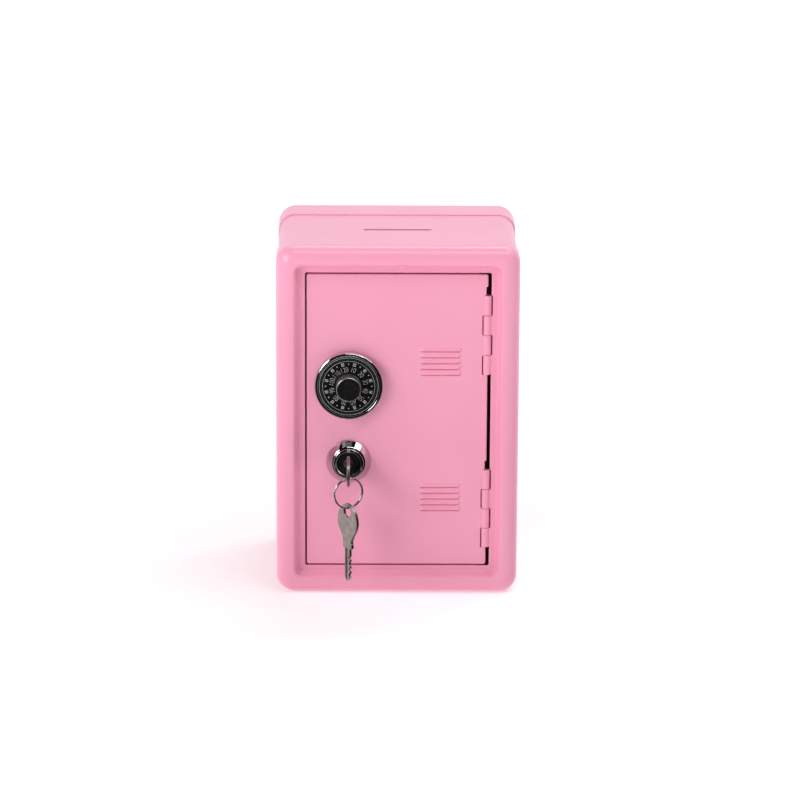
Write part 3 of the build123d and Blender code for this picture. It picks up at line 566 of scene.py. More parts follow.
# The rim's profile, as distance inwards and depth: round the front edge, then behind the sheet and back
rim = bent([(0.6, FLANGE_DEPTH, 0), (0, FLANGE_DEPTH, 0.45), (0, FLANGE_BACK, 0)], steps=5)
rim_behind = bent(
    [(0, FLANGE_BACK, 0), (0, DOOR_RIM_END, 0.3), (STEEL, DOOR_RIM_END, 0.3), (STEEL, FLANGE_BACK, 0)],
    steps=4,
)
rim_rows = []
for profile, right, right_side in ((rim, DOOR[1], door_edge), (rim_behind, DOOR_RIM_X, None)):
    for inwards, depth in profile:
        x, z = loop(
            DOOR[0] + inwards, right - inwards, DOOR[2] + inwards, DOOR[3] - inwards,
            max(DOOR_CORNER - inwards, 0), columns, door_z,
            None if right_side is None else right_side - inwards,
        )
        rim_rows.append(place(x, depth, z))
flat_start = rim[0, 0]
x, z = loop(
    DOOR[0] + flat_start, DOOR[1] - flat_start, DOOR[2] + flat_start, DOOR[3] - flat_start, 0,
    columns, door_z, door_edge - flat_start,
)
door_skins = [
    skin(np.stack([place(x, FLANGE_DEPTH, z)] + rim_rows), False, True),
    door_face(
        FLANGE_DEPTH, door_rise, DOOR[0] + flat_start, door_edge - flat_start, DOOR[2] + flat_start,
        DOOR[3] - flat_start,
    ),
    door_face(
        FLANGE_BACK, INNER_FACE_SHARE * np.clip(door_rise, 0, None), DOOR[0] + STEEL, DOOR_RIM_X - STEEL,
        DOOR[2] + STEEL, DOOR[3] - STEEL,
    ),
]
door_skins += [knuckle(low, high) for low, high in DOOR_SPANS]
piece("door_sheet", door_skins, pink_paint, "door", "pink_paint", "door_panel")

# --------------------------------------------------------------------------------------------------
# Hinge pins. Two bright drawn steel wires pushed through the knuckles and cut flush, so that only their
# ends show. They keep their solids' shape and get the finish.
# --------------------------------------------------------------------------------------------------
pin_steel = finish("hinge_pin_steel", (0.55, 0.54, 0.53), {"Metallic": 1.0, "Roughness": 0.3})
tint(pin_steel, grain(pin_steel, 900, 3, (1, 1, 0.15)), (0.48, 0.47, 0.46), (0.62, 0.61, 0.6))
roughen(pin_steel, grain(pin_steel, 1500, 2, (1, 1, 0.1)), 0.22, 0.38)


def dress(material, *nodes):
    """Gives CAD nodes, whose shape is kept, a finish in all their material slots."""
    for node in nodes:
        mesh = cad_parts[node].data
        mesh.materials.clear()
        mesh.materials.append(material)


dress(pin_steel, "upper_hinge_pin", "lower_hinge_pin")

# --------------------------------------------------------------------------------------------------
# Dial bezel. A pressed brass cup, chromed and riveted to the door, whose round lip stands proud of the
# number disc. A notch in the top of the lip is the dial's index.
# --------------------------------------------------------------------------------------------------
disc_low, disc_high = (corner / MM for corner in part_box("dial_disc"))
DIAL_X, DIAL_Z = (disc_low.x + disc_high.x) / 2, (disc_low.z + disc_high.z) / 2
bezel_low, bezel_high = (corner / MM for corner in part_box("dial_bezel"))
BEZEL_RADIUS = (bezel_high.x - bezel_low.x) / 2
BEZEL_FRONT = bezel_low.y - CASE_FRONT
BEZEL_BORE = 15.1
BEZEL_HOLE = 3.0
BEZEL_SEAT = FLANGE_DEPTH - 0.02
INDEX_WIDTH = 0.55
INDEX_SINK = 0.55
INDEX_FADE = 1.6


def turned(profile, x, z, angles=96):
    """A closed profile of (radius, depth) points carried once round a front-to-back axis at x, z."""
    angle = np.linspace(0, 2 * pi, angles, endpoint=False) if np.isscalar(angles) else angles
    radius, depth = profile[:, :1], profile[:, 1:]
    return skin(place(x + radius * np.sin(angle), depth, z + radius * np.cos(angle)), True, True)


def chromium():
    """Bright chromium plate: near mirror, with faint polishing haze and hairlines."""
    material = finish("chromium_plate", (0.62, 0.62, 0.64), {"Metallic": 1.0, "Roughness": 0.07})
    tint(material, grain(material, 160, 3), (0.58, 0.58, 0.6), (0.65, 0.65, 0.665))
    roughen(material, grain(material, 320, 4), 0.03, 0.07)
    relief(material, grain(material, 900, 2), 0.0000012)
    return material


chrome = chromium()
bezel_profile = bent(
    [
        (BEZEL_HOLE, BEZEL_SEAT, 0),
        (BEZEL_RADIUS - 0.35, BEZEL_SEAT, 0.2),
        (BEZEL_RADIUS, FLANGE_DEPTH - 1.0, 1.2),
        (BEZEL_RADIUS, BEZEL_FRONT, 1.05),
        (BEZEL_BORE, BEZEL_FRONT, 0.75),
        (BEZEL_BORE, FLANGE_DEPTH - STEEL, 0.3),
        (BEZEL_HOLE, FLANGE_DEPTH - STEEL, 0),
    ],
    steps=9,
)
half_index = INDEX_WIDTH / 2 / BEZEL_RADIUS
near_index = np.array([-2.2, -1.4, -1.0, -0.7, -0.35, 0, 0.35, 0.7, 1.0, 1.4, 2.2]) * half_index
round_rest = np.linspace(3.2 * half_index, 2 * pi - 3.2 * half_index, 180)
bezel_angles = np.concatenate([near_index, round_rest])
points, faces = turned(bezel_profile, DIAL_X, DIAL_Z, bezel_angles)
sink = np.interp(np.abs(bezel_angles), (0.7 * half_index, half_index), (INDEX_SINK, 0), right=0)
on_lip = np.interp(bezel_profile[:, 1], (BEZEL_FRONT, BEZEL_FRONT + INDEX_FADE), (1, 0))
on_lip *= bezel_profile[:, 0] > BEZEL_BORE
points[:, 1] += (on_lip[:, None] * sink[None]).ravel() * MM
piece("dial_bezel_cup", [(points, faces)], chrome, "door", "chrome", "dial_bezel")

# --------------------------------------------------------------------------------------------------
# Number disc. A die-cast disc, enamelled black, with a raised outer band. Ring lines, scale ticks,
# blocks, dots and the numbers from 10 to 120 are filled in with light grey paint. It turns with the knob.
# --------------------------------------------------------------------------------------------------
DISC_RADIUS = (disc_high.x - disc_low.x) / 2
DISC_FRONT = disc_low.y - CASE_FRONT
DISC_BACK = disc_high.y - CASE_FRONT
DISC_FLOOR = DISC_FRONT + 0.3
BAND_INNER = 12.65

enamel_gloss = {"Roughness": 0.24, "Specular IOR Level": 0.22}
disc_black = finish("dial_black_enamel", (0.006, 0.006, 0.0065), enamel_gloss)
tint(disc_black, grain(disc_black, 500, 4), (0.0045, 0.0045, 0.005), (0.009, 0.0088, 0.009))
roughen(disc_black, grain(disc_black, 260, 4), 0.19, 0.3)
relief(disc_black, grain(disc_black, 2200, 2), 0.000004)
disc_profile = bent(
    [
        (0, DISC_FLOOR, 0),
        (BAND_INNER - 0.1, DISC_FLOOR, 0.12),
        (BAND_INNER + 0.05, DISC_FRONT, 0.1),
        (DISC_RADIUS, DISC_FRONT, 0.15),
        (DISC_RADIUS, DISC_BACK, 0.2),
        (0, DISC_BACK, 0),
    ],
    steps=4,
)
disc_skins = [turned(disc_profile, DIAL_X, DIAL_Z, 160)]
piece("dial_number_disc", disc_skins, disc_black, "dial", "dial_black", "dial_disc")

PAINT_RISE = 0.05
PAINT_SINK = 0.02
RING_LINES = ((14.62, 0.17), (12.9, 0.14))
TICK_COUNT = 120
TICK_RADII = (12.98, 14.4)
TICK_WIDTH = 0.08
TICK_SLANT = radians(4.5)
BLOCK_RADIUS = 11.25
BLOCK_SIZE = (1.35, 1.65)
BLOCK_STROKE = 0.34
DOT_RADIUS = 11.35
DOT_SIZE = 0.27
NUMBER_RADIUS = 8.35
NUMBER_HEIGHT = 2.75
NUMBER_NARROWING = 0.74
NUMBER_THINNING = 0.022
FONT_DIGIT_SHARE = 0.73


def mark_paint(name, strength):
    """Light grey paint, a little uneven where it lies in the recesses; fine lines hold less of it."""
    grey = np.array((1, 1, 0.97)) * strength
    material = finish(name, grey, {"Roughness": 0.5})
    tint(material, grain(material, 1400, 3), 0.8 * grey, 1.25 * grey, 0.4, 0.6)
    roughen(material, grain(material, 900, 2), 0.42, 0.6)
    return material


def bars(ends, width, floor):
    """Flat bars on the disc, each from one (radius, angle) to another. A bar is a thin six-sided box, whose
    corners are its end points moved half the width to each side."""
    ends = np.asarray(ends, float)
    radius, angle = ends[:, 0::2], ends[:, 1::2]
    x, z = radius * np.sin(angle), radius * np.cos(angle)
    run = np.stack([x[:, 1] - x[:, 0], z[:, 1] - z[:, 0]], axis=-1)
    side = np.stack([-run[:, 1], run[:, 0]], axis=-1) / np.linalg.norm(run, axis=1)[:, None] * width / 2
    corners = [(0, 1), (1, 1), (1, -1), (0, -1)]
    x8 = np.stack([x[:, end] + way * side[:, 0] for end, way in corners] * 2, axis=1)
    z8 = np.stack([z[:, end] + way * side[:, 1] for end, way in corners] * 2, axis=1)
    depth = np.array([floor + PAINT_SINK] * 4 + [floor - PAINT_RISE] * 4)
    box = np.array([(0, 1, 2, 3), (7, 6, 5, 4), (0, 4, 5, 1), (1, 5, 6, 2), (2, 6, 7, 3), (3, 7, 4, 0)])
    faces = (box[None] + 8 * np.arange(len(ends))[:, None, None]).reshape(-1, 4)
    return place(DIAL_X + x8, depth, DIAL_Z + z8).reshape(-1, 3), faces


grey_paint = mark_paint("dial_mark_paint", 0.47)
thin_paint = mark_paint("dial_thin_paint", 0.05)
mark_skins = []
for radius, width in RING_LINES:
    line = np.array([(radius - width, DISC_FRONT), (radius - width, DISC_FRONT - PAINT_RISE)])
    line = np.concatenate([line, line[::-1] + (width, 0)])
    mark_skins.append(turned(line, DIAL_X, DIAL_Z, 160))
tick_angle = np.arange(TICK_COUNT) * 2 * pi / TICK_COUNT
one = np.ones(TICK_COUNT)
tick_from, tick_to = tick_angle - TICK_SLANT / 2, tick_angle + TICK_SLANT / 2
ticks = np.stack([TICK_RADII[0] * one, tick_from, TICK_RADII[1] * one, tick_to], axis=-1)
tick_skins = [bars(ticks, TICK_WIDTH, DISC_FRONT)]
piece("dial_scale_ticks", tick_skins, thin_paint, "dial", "dial_black")
dot_angle = np.arange(12) * pi / 6
one = np.ones(12)
dots = [(DOT_RADIUS - DOT_SIZE) * one, dot_angle, (DOT_RADIUS + DOT_SIZE) * one, dot_angle]
mark_skins.append(bars(np.stack(dots, axis=-1), 2 * DOT_SIZE, DISC_FLOOR))
block_angle = dot_angle + pi / 12
reach = (BLOCK_SIZE[0] - BLOCK_STROKE) / 2 / BLOCK_RADIUS
inner, outer = BLOCK_RADIUS - BLOCK_SIZE[1] / 2, BLOCK_RADIUS + BLOCK_SIZE[1] / 2
for side in (-reach, reach):
    upright = [inner * one, block_angle + side, outer * one, block_angle + side]
    mark_skins.append(bars(np.stack(upright, axis=-1), BLOCK_STROKE, DISC_FLOOR))
for radius in (inner + BLOCK_STROKE / 2, BLOCK_RADIUS, outer - BLOCK_STROKE / 2):
    level = [radius * one, block_angle - reach, radius * one, block_angle + reach]
    mark_skins.append(bars(np.stack(level, axis=-1), BLOCK_STROKE * 0.8, DISC_FLOOR))
piece("dial_scale_marks", mark_skins, grey_paint, "dial", "dial_black")

numbers = bmesh.new()
for number in range(12):
    text = bpy.data.curves.new("dial_number", "FONT")
    text.body = str(10 * (number + 1))
    text.align_x, text.align_y = "CENTER", "CENTER"
    text.size = NUMBER_HEIGHT / FONT_DIGIT_SHARE * MM
    text.extrude = PAINT_RISE / 2 * MM
    text.offset = -NUMBER_THINNING * text.size
    written = bpy.data.objects.new("dial_number", text)
    bpy.context.scene.collection.objects.link(written)
    bpy.context.view_layer.update()
    settled = written.evaluated_get(bpy.context.evaluated_depsgraph_get())
    letters = bpy.data.meshes.new_from_object(settled)
    angle = pi / 12 + number * pi / 6
    upright = Matrix.Rotation(pi / 2, 4, "X")
    narrow = Matrix.Diagonal((NUMBER_NARROWING, 1, 1, 1))
    centre = Vector(place(DIAL_X, DISC_FLOOR - PAINT_RISE / 2, DIAL_Z))
    turn = Matrix.Rotation(angle, 4, "Y")
    out = Matrix.Translation((0, 0, NUMBER_RADIUS * MM))
    letters.transform(Matrix.Translation(centre) @ turn @ out @ upright @ narrow)
    numbers.from_mesh(letters)
    bpy.data.objects.remove(written)
number_mesh = bpy.data.meshes.new("dial_numbers")
numbers.to_mesh(number_mesh)
numbers.free()
number_mesh.materials.append(grey_paint)
dial_numbers = bpy.data.objects.new("dial_numbers", number_mesh)
bpy.context.scene.collection.objects.link(dial_numbers)
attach(dial_numbers, "dial")

# --------------------------------------------------------------------------------------------------
# Dial knob. A satin-plated zinc casting, pressed on the spindle: a slightly tapered fluted grip with a
# rounded rim, and a black plastic inlay glued into its face.
# --------------------------------------------------------------------------------------------------
knob_low, knob_high = (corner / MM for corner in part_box("dial_knob"))
KNOB_FRONT, KNOB_BACK = knob_low.y - CASE_FRONT, knob_high.y - CASE_FRONT
KNOB_BASE_RADIUS = (knob_high.x - knob_low.x) / 2
KNOB_FACE_RADIUS = 6.1
CAP_RADIUS = 5.6
FLUTE_COUNT = 36
FLUTE_DEPTH = 0.28
FLANK_MARGIN = 0.9
KNOB_BORE = 2.0
INLAY_RECESS = 0.5

knob_metal = finish("knob_satin_plate", (0.68, 0.66, 0.66), {"Metallic": 1.0, "Roughness": 0.36})
tint(knob_metal, grain(knob_metal, 700, 4), (0.6, 0.58, 0.58), (0.75, 0.73, 0.73))
roughen(knob_metal, grain(knob_metal, 400, 4), 0.28, 0.42)
relief(knob_metal, grain(knob_metal, 1800, 2), 0.000003)
knob_profile = bent(
    [
        (KNOB_BORE, KNOB_BACK, 0),
        (KNOB_BASE_RADIUS, KNOB_BACK, 0.12),
        (KNOB_BASE_RADIUS - 0.02, KNOB_BACK - 0.5, 0.1),
        (KNOB_FACE_RADIUS, KNOB_FRONT, 0.42),
        (CAP_RADIUS, KNOB_FRONT, 0.12),
        (CAP_RADIUS, KNOB_FRONT + INLAY_RECESS, 0.05),
        (KNOB_BORE, KNOB_FRONT + INLAY_RECESS, 0),
    ],
    steps=4,
)
# More rows on the flank, for the flutes to run out in
flank = np.linspace(0, 1, 12)[:, None]
flank_start = np.array([KNOB_BASE_RADIUS, KNOB_BACK - FLANK_MARGIN])
flank_end = np.array([KNOB_FACE_RADIUS, KNOB_FRONT + FLANK_MARGIN])
flank_rows = flank_start + flank * (flank_end - flank_start)
split = np.flatnonzero(knob_profile[:, 1] < KNOB_BACK - 1.0)[0]
knob_profile = np.concatenate([knob_profile[:split], flank_rows, knob_profile[split:]])
knob_angle = np.linspace(0, 2 * pi, FLUTE_COUNT * 10, endpoint=False)
groove = FLUTE_DEPTH * (0.5 + 0.5 * np.cos(FLUTE_COUNT * knob_angle)) ** 1.5
outermost = knob_profile[:, 0] > CAP_RADIUS + 0.25
flute_ends = (KNOB_FRONT + 0.5, KNOB_FRONT + 0.95, KNOB_BACK - 0.75, KNOB_BACK - 0.4)
along_flank = np.interp(knob_profile[:, 1], flute_ends, (0, 1, 1, 0))
knob_radius = knob_profile[:, :1] - (outermost * along_flank)[:, None] * groove
knob_x, knob_z = DIAL_X + knob_radius * np.sin(knob_angle), DIAL_Z + knob_radius * np.cos(knob_angle)
knob_grid = place(knob_x, knob_profile[:, 1:], knob_z)
piece("dial_knob_grip", [skin(knob_grid, True, True)], knob_metal, "dial", "knob_metal", "dial_knob")

inlay_gloss = {"Roughness": 0.25, "Specular IOR Level": 0.25}
cap_black = finish("knob_inlay_black", (0.008, 0.008, 0.009), inlay_gloss)
tint(cap_black, grain(cap_black, 300, 3), (0.006, 0.006, 0.007), (0.011, 0.011, 0.012))
roughen(cap_black, grain(cap_black, 500, 3), 0.19, 0.32)
relief(cap_black, grain(cap_black, 1800, 2), 0.000003)
CAP_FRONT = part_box("dial_knob_cap")[0].y / MM - CASE_FRONT
CAP_EDGE = CAP_RADIUS - 0.05
CAP_BACK = CAP_FRONT + 0.3
cap_profile = bent(
    [(0, CAP_FRONT - 0.03, 0), (CAP_EDGE, CAP_FRONT + 0.02, 0.12), (CAP_EDGE, CAP_BACK, 0), (0, CAP_BACK, 0)],
    steps=4,
)
cap_skins = [turned(cap_profile, DIAL_X, DIAL_Z)]
piece("dial_knob_inlay", cap_skins, cap_black, "dial", "dial_black", "dial_knob_cap")

# --------------------------------------------------------------------------------------------------
# Dial spindle, spring washer and push nut, behind the door: turned and stamped steel, plated with zinc, a
# soft grey with a faint blue and straw mottle. The nut is pressed on the spindle's end against the
# washer.
# --------------------------------------------------------------------------------------------------
zinc = finish("zinc_plate", (0.5, 0.51, 0.53), {"Metallic": 1.0, "Roughness": 0.35})
tint(zinc, grain(zinc, 260, 4), (0.44, 0.46, 0.5), (0.56, 0.55, 0.5))
roughen(zinc, grain(zinc, 700, 3), 0.27, 0.45)
relief(zinc, grain(zinc, 2400, 2), 0.000003)
dress(zinc, "dial_spindle", "dial_spring_washer", "dial_push_nut")

# --------------------------------------------------------------------------------------------------
# Lock escutcheon and housing. A chromed bell, spun from brass, flares from the lock's head to the door.
# The die-cast, chromed housing has a round head and a threaded barrel with two flats, and the nut behind
# the door clamps both.
# --------------------------------------------------------------------------------------------------
bell_low, bell_high = (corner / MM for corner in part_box("lock_escutcheon"))
LOCK_X, LOCK_Z = (bell_low.x + bell_high.x) / 2, (bell_low.z + bell_high.z) / 2
BELL_RADIUS = (bell_high.x - bell_low.x) / 2
BELL_FRONT = bell_low.y - CASE_FRONT
BELL_NECK_RADIUS = 8.0
BELL_RIM_DEPTH = FLANGE_DEPTH - 0.5
housing_low, housing_high = (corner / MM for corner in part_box("lock_housing"))
HEAD_RADIUS = (housing_high.x - housing_low.x) / 2
HEAD_FRONT = housing_low.y - CASE_FRONT
HEAD_BORE = 5.85
BARREL_END = housing_high.y - CASE_FRONT
BARREL_RADIUS = 6.6
BARREL_FLAT = 5.9
PLUG_BORE = 4.55
PLUG_HEAD_END = 3.65
THREAD_PITCH = 1.0
THREAD_DEPTH = 0.4
THREAD_START = FLANGE_DEPTH + 0.4
THREAD_STEP = 0.125
BELL_HOLE = BARREL_RADIUS + 0.05
BELL_EDGE = 0.1

# The flare is a straight cone from the rim to the neck
flare = np.linspace(0, 1, 8)
flare_radius = BELL_RADIUS + (BELL_NECK_RADIUS - BELL_RADIUS) * flare
flare_depth = BELL_RIM_DEPTH + (BELL_FRONT - BELL_RIM_DEPTH) * flare
bell_profile = np.concatenate(
    [
        [
            (BELL_HOLE, FLANGE_DEPTH),
            (BELL_RADIUS - BELL_EDGE, FLANGE_DEPTH),
            (BELL_RADIUS, FLANGE_DEPTH - 0.12),
        ],
        np.stack([flare_radius, flare_depth], axis=-1),
        [(BELL_HOLE, BELL_FRONT)],
    ]
)
bell_skins = [turned(bell_profile, LOCK_X, LOCK_Z, 128)]
piece("lock_bell", bell_skins, chrome, "door", "chrome", "lock_escutcheon")

head_profile = bent(
    [
        (PLUG_BORE, PLUG_HEAD_END, 0),
        (HEAD_BORE, PLUG_HEAD_END, 0),
        (HEAD_BORE, HEAD_FRONT + 0.35, 0.15),
        (HEAD_BORE + 0.5, HEAD_FRONT, 0.2),
        (HEAD_RADIUS, HEAD_FRONT, 0.45),
        (HEAD_RADIUS, BELL_FRONT, 0.1),
        (BARREL_RADIUS, BELL_FRONT, 0),
        (BARREL_RADIUS, THREAD_START, 0),
        (PLUG_BORE, THREAD_START, 0),
    ],
    steps=6,
    closed=True,
)
# The thread's radius falls and rises once in each pitch of depth, and the pitch starts later round the
# barrel
thread_depth = np.arange(THREAD_START, BARREL_END, THREAD_STEP)
thread_angle = np.linspace(0, 2 * pi, 96, endpoint=False)
turns = thread_depth[:, None] / THREAD_PITCH - thread_angle / (2 * pi)
thread_radius = BARREL_RADIUS - THREAD_DEPTH * (1 - np.abs(2 * (turns % 1) - 1))
thread_x = np.clip(thread_radius * np.sin(thread_angle), -BARREL_FLAT, BARREL_FLAT)
thread_z = thread_radius * np.cos(thread_angle)
barrel_out = place(LOCK_X + thread_x, thread_depth[:, None], LOCK_Z + thread_z)
bore_x, bore_z = PLUG_BORE * np.sin(thread_angle), PLUG_BORE * np.cos(thread_angle)
barrel_in = place(LOCK_X + bore_x, np.array([BARREL_END, THREAD_START])[:, None], LOCK_Z + bore_z)
end_x = np.clip((BARREL_RADIUS - THREAD_DEPTH) * np.sin(thread_angle), -BARREL_FLAT, BARREL_FLAT)
end_z = (BARREL_RADIUS - THREAD_DEPTH) * np.cos(thread_angle)
barrel_tip = place(LOCK_X + end_x, BARREL_END, LOCK_Z + end_z)[None]
barrel = skin(np.concatenate([barrel_out, barrel_tip, barrel_in]), True, True)
lock_skins = [turned(head_profile, LOCK_X, LOCK_Z, 128), barrel]
piece("lock_head_and_barrel", lock_skins, chrome, "door", "chrome", "lock_housing")

# --------------------------------------------------------------------------------------------------
# Lock plug, face ring and wafers. The nickel-plated plug turns in the housing, and four stamped brass
# wafers sit in its slots. A black plastic ring covers its face round the nose and turns with it.
# --------------------------------------------------------------------------------------------------
ring_low, ring_high = (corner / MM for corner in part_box("lock_face_ring"))
FACE_FRONT, FACE_BACK = ring_low.y - CASE_FRONT, ring_high.y - CASE_FRONT
FACE_RADIUS = (ring_high.x - ring_low.x) / 2
NOSE_RADIUS = 2.5
NOSE_HOLE = NOSE_RADIUS + 0.05

face_profile = bent(
    [
        (NOSE_HOLE, FACE_FRONT, 0.12),
        (FACE_RADIUS - 0.4, FACE_FRONT, 0.25),
        (FACE_RADIUS, FACE_FRONT + 0.25, 0.1),
        (FACE_RADIUS, FACE_BACK, 0),
        (NOSE_HOLE, FACE_BACK, 0),
    ],
    steps=4,
    closed=True,
)
face_skins = [turned(face_profile, LOCK_X, LOCK_Z)]
piece("lock_face_cover", face_skins, cap_black, "latch", "dial_black", "lock_face_ring")

plug_nickel = finish("plug_nickel", (0.56, 0.55, 0.52), {"Metallic": 1.0, "Roughness": 0.26})
tint(plug_nickel, grain(plug_nickel, 600, 4), (0.48, 0.47, 0.44), (0.64, 0.63, 0.6))
roughen(plug_nickel, grain(plug_nickel, 900, 3), 0.18, 0.34)
dress(plug_nickel, "lock_plug")
brass = finish("wafer_brass", (0.62, 0.43, 0.17), {"Metallic": 1.0, "Roughness": 0.3})
tint(brass, grain(brass, 500, 4), (0.54, 0.36, 0.13), (0.68, 0.49, 0.22))
roughen(brass, grain(brass, 900, 3), 0.22, 0.4)
dress(brass, "lock_wafers")

# --------------------------------------------------------------------------------------------------
# Lock washer, nut, cam and its screw, behind the door: stamped and pressed steel with the same zinc
# plate. The nut clamps the lock, and the screw holds the cam on the plug's end.
# --------------------------------------------------------------------------------------------------
dress(zinc, "lock_washer", "lock_nut", "lock_cam", "lock_cam_screw")

# --------------------------------------------------------------------------------------------------
# Keys. Two alike, stamped from nickel-plated sheet: an oval bow with a hole, a shoulder, and a flat blade
# with a milled groove on both sides and four cuts. One is in the lock, the other hangs from the ring.
# --------------------------------------------------------------------------------------------------
KEY_LENGTH = 39.5
BLADE_LENGTH = 16.6
SHOULDER_LENGTH = 3.0
SHOULDER_HALF = 3.3
NECK_HALF = 2.9
BOW_HALF = 7.5
BOW_MIDDLE = KEY_LENGTH - 9.4
KEY_HOLE_RADIUS = 2.8
KEY_HOLE_AT = KEY_LENGTH - 4.1
KEY_HALF = 0.75
BLADE_HALF_WIDTH = 2.08
BLADE_HALF = 0.63
CUT_MIDDLES = 2.85 + 3.0 * np.arange(4)
CUT_DEPTHS = (0.7, 1.1, 0.5, 0.9)
CUT_HALF_WIDTH = 1.4
CUT_SLOPE = tan(radians(60))
SHOULDER_GAP = 0.04
BLADE_START = BLADE_LENGTH + SHOULDER_GAP
BLADE_OVERLAP = 0.5
KEY_EASE = 0.22
BLADE_EASE = 0.16
GROOVE_DEPTH = 0.35
GROOVE_FROM, GROOVE_TO, GROOVE_SIDE = 0.0, 1.0, 0.06
FLANK_SWELL = 0.15


def key_outline():
    """The head from the shoulder's corner round the bow: a cubic for the flank and a quarter ellipse for the
    end, both mirrored, and the shoulder's straight end."""
    neck = BLADE_LENGTH + SHOULDER_LENGTH
    t = np.linspace(0, 1, 26)
    run = BOW_MIDDLE - neck
    rise = BOW_HALF - NECK_HALF
    swell = FLANK_SWELL * run * t * (1 - t) ** 2
    flank = np.stack([neck + run * t, NECK_HALF + rise * (3 * t**2 - 2 * t**3) + swell], -1)
    quarter = np.linspace(0, pi / 2, 34)[1:]
    bow_end = KEY_LENGTH - BOW_MIDDLE
    end = np.stack([BOW_MIDDLE + bow_end * np.sin(quarter), BOW_HALF * np.cos(quarter)], -1)
    shoulder = bent(
        [
            (BLADE_START, 0, 0),
            (BLADE_START, SHOULDER_HALF, 0.4),
            (neck - 0.5, SHOULDER_HALF, 0.5),
            (neck, NECK_HALF, 0),
        ],
        steps=4,
    )
    half = np.concatenate([shoulder, flank[1:], end])
    other = half[-2:0:-1] * (1, -1)
    return np.concatenate([half, other])


def key_skins(origin, along, across):
    """A key in its own directions, in millimetres of the row frame: the head, and the blade.

    The head is a closed section, eased at its edges, carried round between the hole and the outline: a point
    is the outline's or the hole's, moved a little towards the other. The blade is a grooved section carried
    along from the tip, its lower edge raised at the cuts."""
    origin, along, across = (np.array(v, float) for v in (origin, along, across))
    normal = np.cross(along, across)

    def stand(a, b, c):
        a, b, c = np.broadcast_arrays(a, b, c)
        return (origin + a[..., None] * along + b[..., None] * across + c[..., None] * normal) * MM

    outline = key_outline()
    centre = np.array([KEY_HOLE_AT, 0])
    spoke = outline - centre
    spoke /= np.linalg.norm(spoke, axis=1)[:, None]
    half_section = [(0, -KEY_HALF, KEY_EASE), (0, KEY_HALF, KEY_EASE), (1, KEY_HALF, 0), (1, -KEY_HALF, 0)]
    eased = bent(half_section, 4, True)
    outer_half = eased[eased[:, 0] < 0.9]
    outer = outline[None] - outer_half[:, 0, None, None] * spoke[None]
    inner = centre + (KEY_HOLE_RADIUS + outer_half[::-1, 0, None, None]) * spoke[None]
    flat = np.concatenate([outer, inner])
    height = np.concatenate([outer_half[:, 1], outer_half[::-1, 1]])[:, None]
    head = skin(stand(flat[..., 0], flat[..., 1], height), True, True)

    a = np.linspace(0, BLADE_LENGTH + BLADE_OVERLAP, 165)
    upper = np.interp(a, (0, 0.25, 1.6), (0.5, 0.75, BLADE_HALF_WIDTH))
    lower = -upper
    for middle, depth in zip(CUT_MIDDLES, CUT_DEPTHS):
        rise = np.clip((CUT_HALF_WIDTH - abs(a - middle)) * CUT_SLOPE - depth, 0, depth)
        lower = np.maximum(lower, rise - BLADE_HALF_WIDTH)
    groove = [GROOVE_FROM, GROOVE_FROM + GROOVE_SIDE, GROOVE_TO - GROOVE_SIDE, GROOVE_TO]
    groove = [side * np.ones(len(a)) for side in groove]
    b = [lower, lower, lower + BLADE_EASE, *groove, upper - BLADE_EASE, upper, upper]
    b = np.stack([np.clip(row, lower, upper) for row in b])
    eased_half, thin = BLADE_HALF - BLADE_EASE, BLADE_HALF - GROOVE_DEPTH
    c = [-eased_half, eased_half, BLADE_HALF, BLADE_HALF, thin, thin, BLADE_HALF, BLADE_HALF]
    c = np.array(c + [eased_half, -eased_half])
    b, c = np.concatenate([b, b[-2:1:-1]]), np.concatenate([c, -c[-2:1:-1]])
    section = stand(a, b, c[:, None] * np.ones(len(a))).transpose(1, 0, 2)
    tip, root = (section[end].mean(0) * np.ones((1, section.shape[1], 1)) for end in (0, -1))
    blade = skin(np.concatenate([tip, section, root]), False, True)
    return [head, blade]


key_nickel = finish("key_satin_nickel", (0.43, 0.385, 0.36), {"Metallic": 1.0, "Roughness": 0.36})
tint(key_nickel, grain(key_nickel, 420, 5), (0.37, 0.33, 0.31), (0.49, 0.44, 0.41))
roughen(key_nickel, grain(key_nickel, 800, 4, (1, 1, 0.2)), 0.28, 0.46)
relief(key_nickel, grain(key_nickel, 1300, 4), 0.000007)
held_tip = (LOCK_X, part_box("key_in_lock")[1].y / MM, LOCK_Z)
held_skins = key_skins(held_tip, (0, -1, 0), (0, 0, 1))
piece("key_in_lock_blank", held_skins, key_nickel, "key", "key_nickel", "key_in_lock")
spare_low, spare_high = (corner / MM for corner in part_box("spare_key"))
SPARE_TURN = radians(-51)
spare_tip = (LOCK_X, (spare_low.y + spare_high.y) / 2, spare_low.z)
spare_skins = key_skins(spare_tip, (0, 0, 1), (-cos(SPARE_TURN), -sin(SPARE_TURN), 0))
piece("spare_key_blank", spare_skins, key_nickel, "spare", "key_nickel", "spare_key")

# --------------------------------------------------------------------------------------------------
# Split ring. Two turns of hard nickel-plated wire wound side by side, through both keys' holes. The wire
# crosses from one turn to the other next to its ends.
# --------------------------------------------------------------------------------------------------
WIRE_RADIUS = 0.4
RING_TURN = radians(26)
CROSSING = 0.75
CROSSING_AT = radians(205)

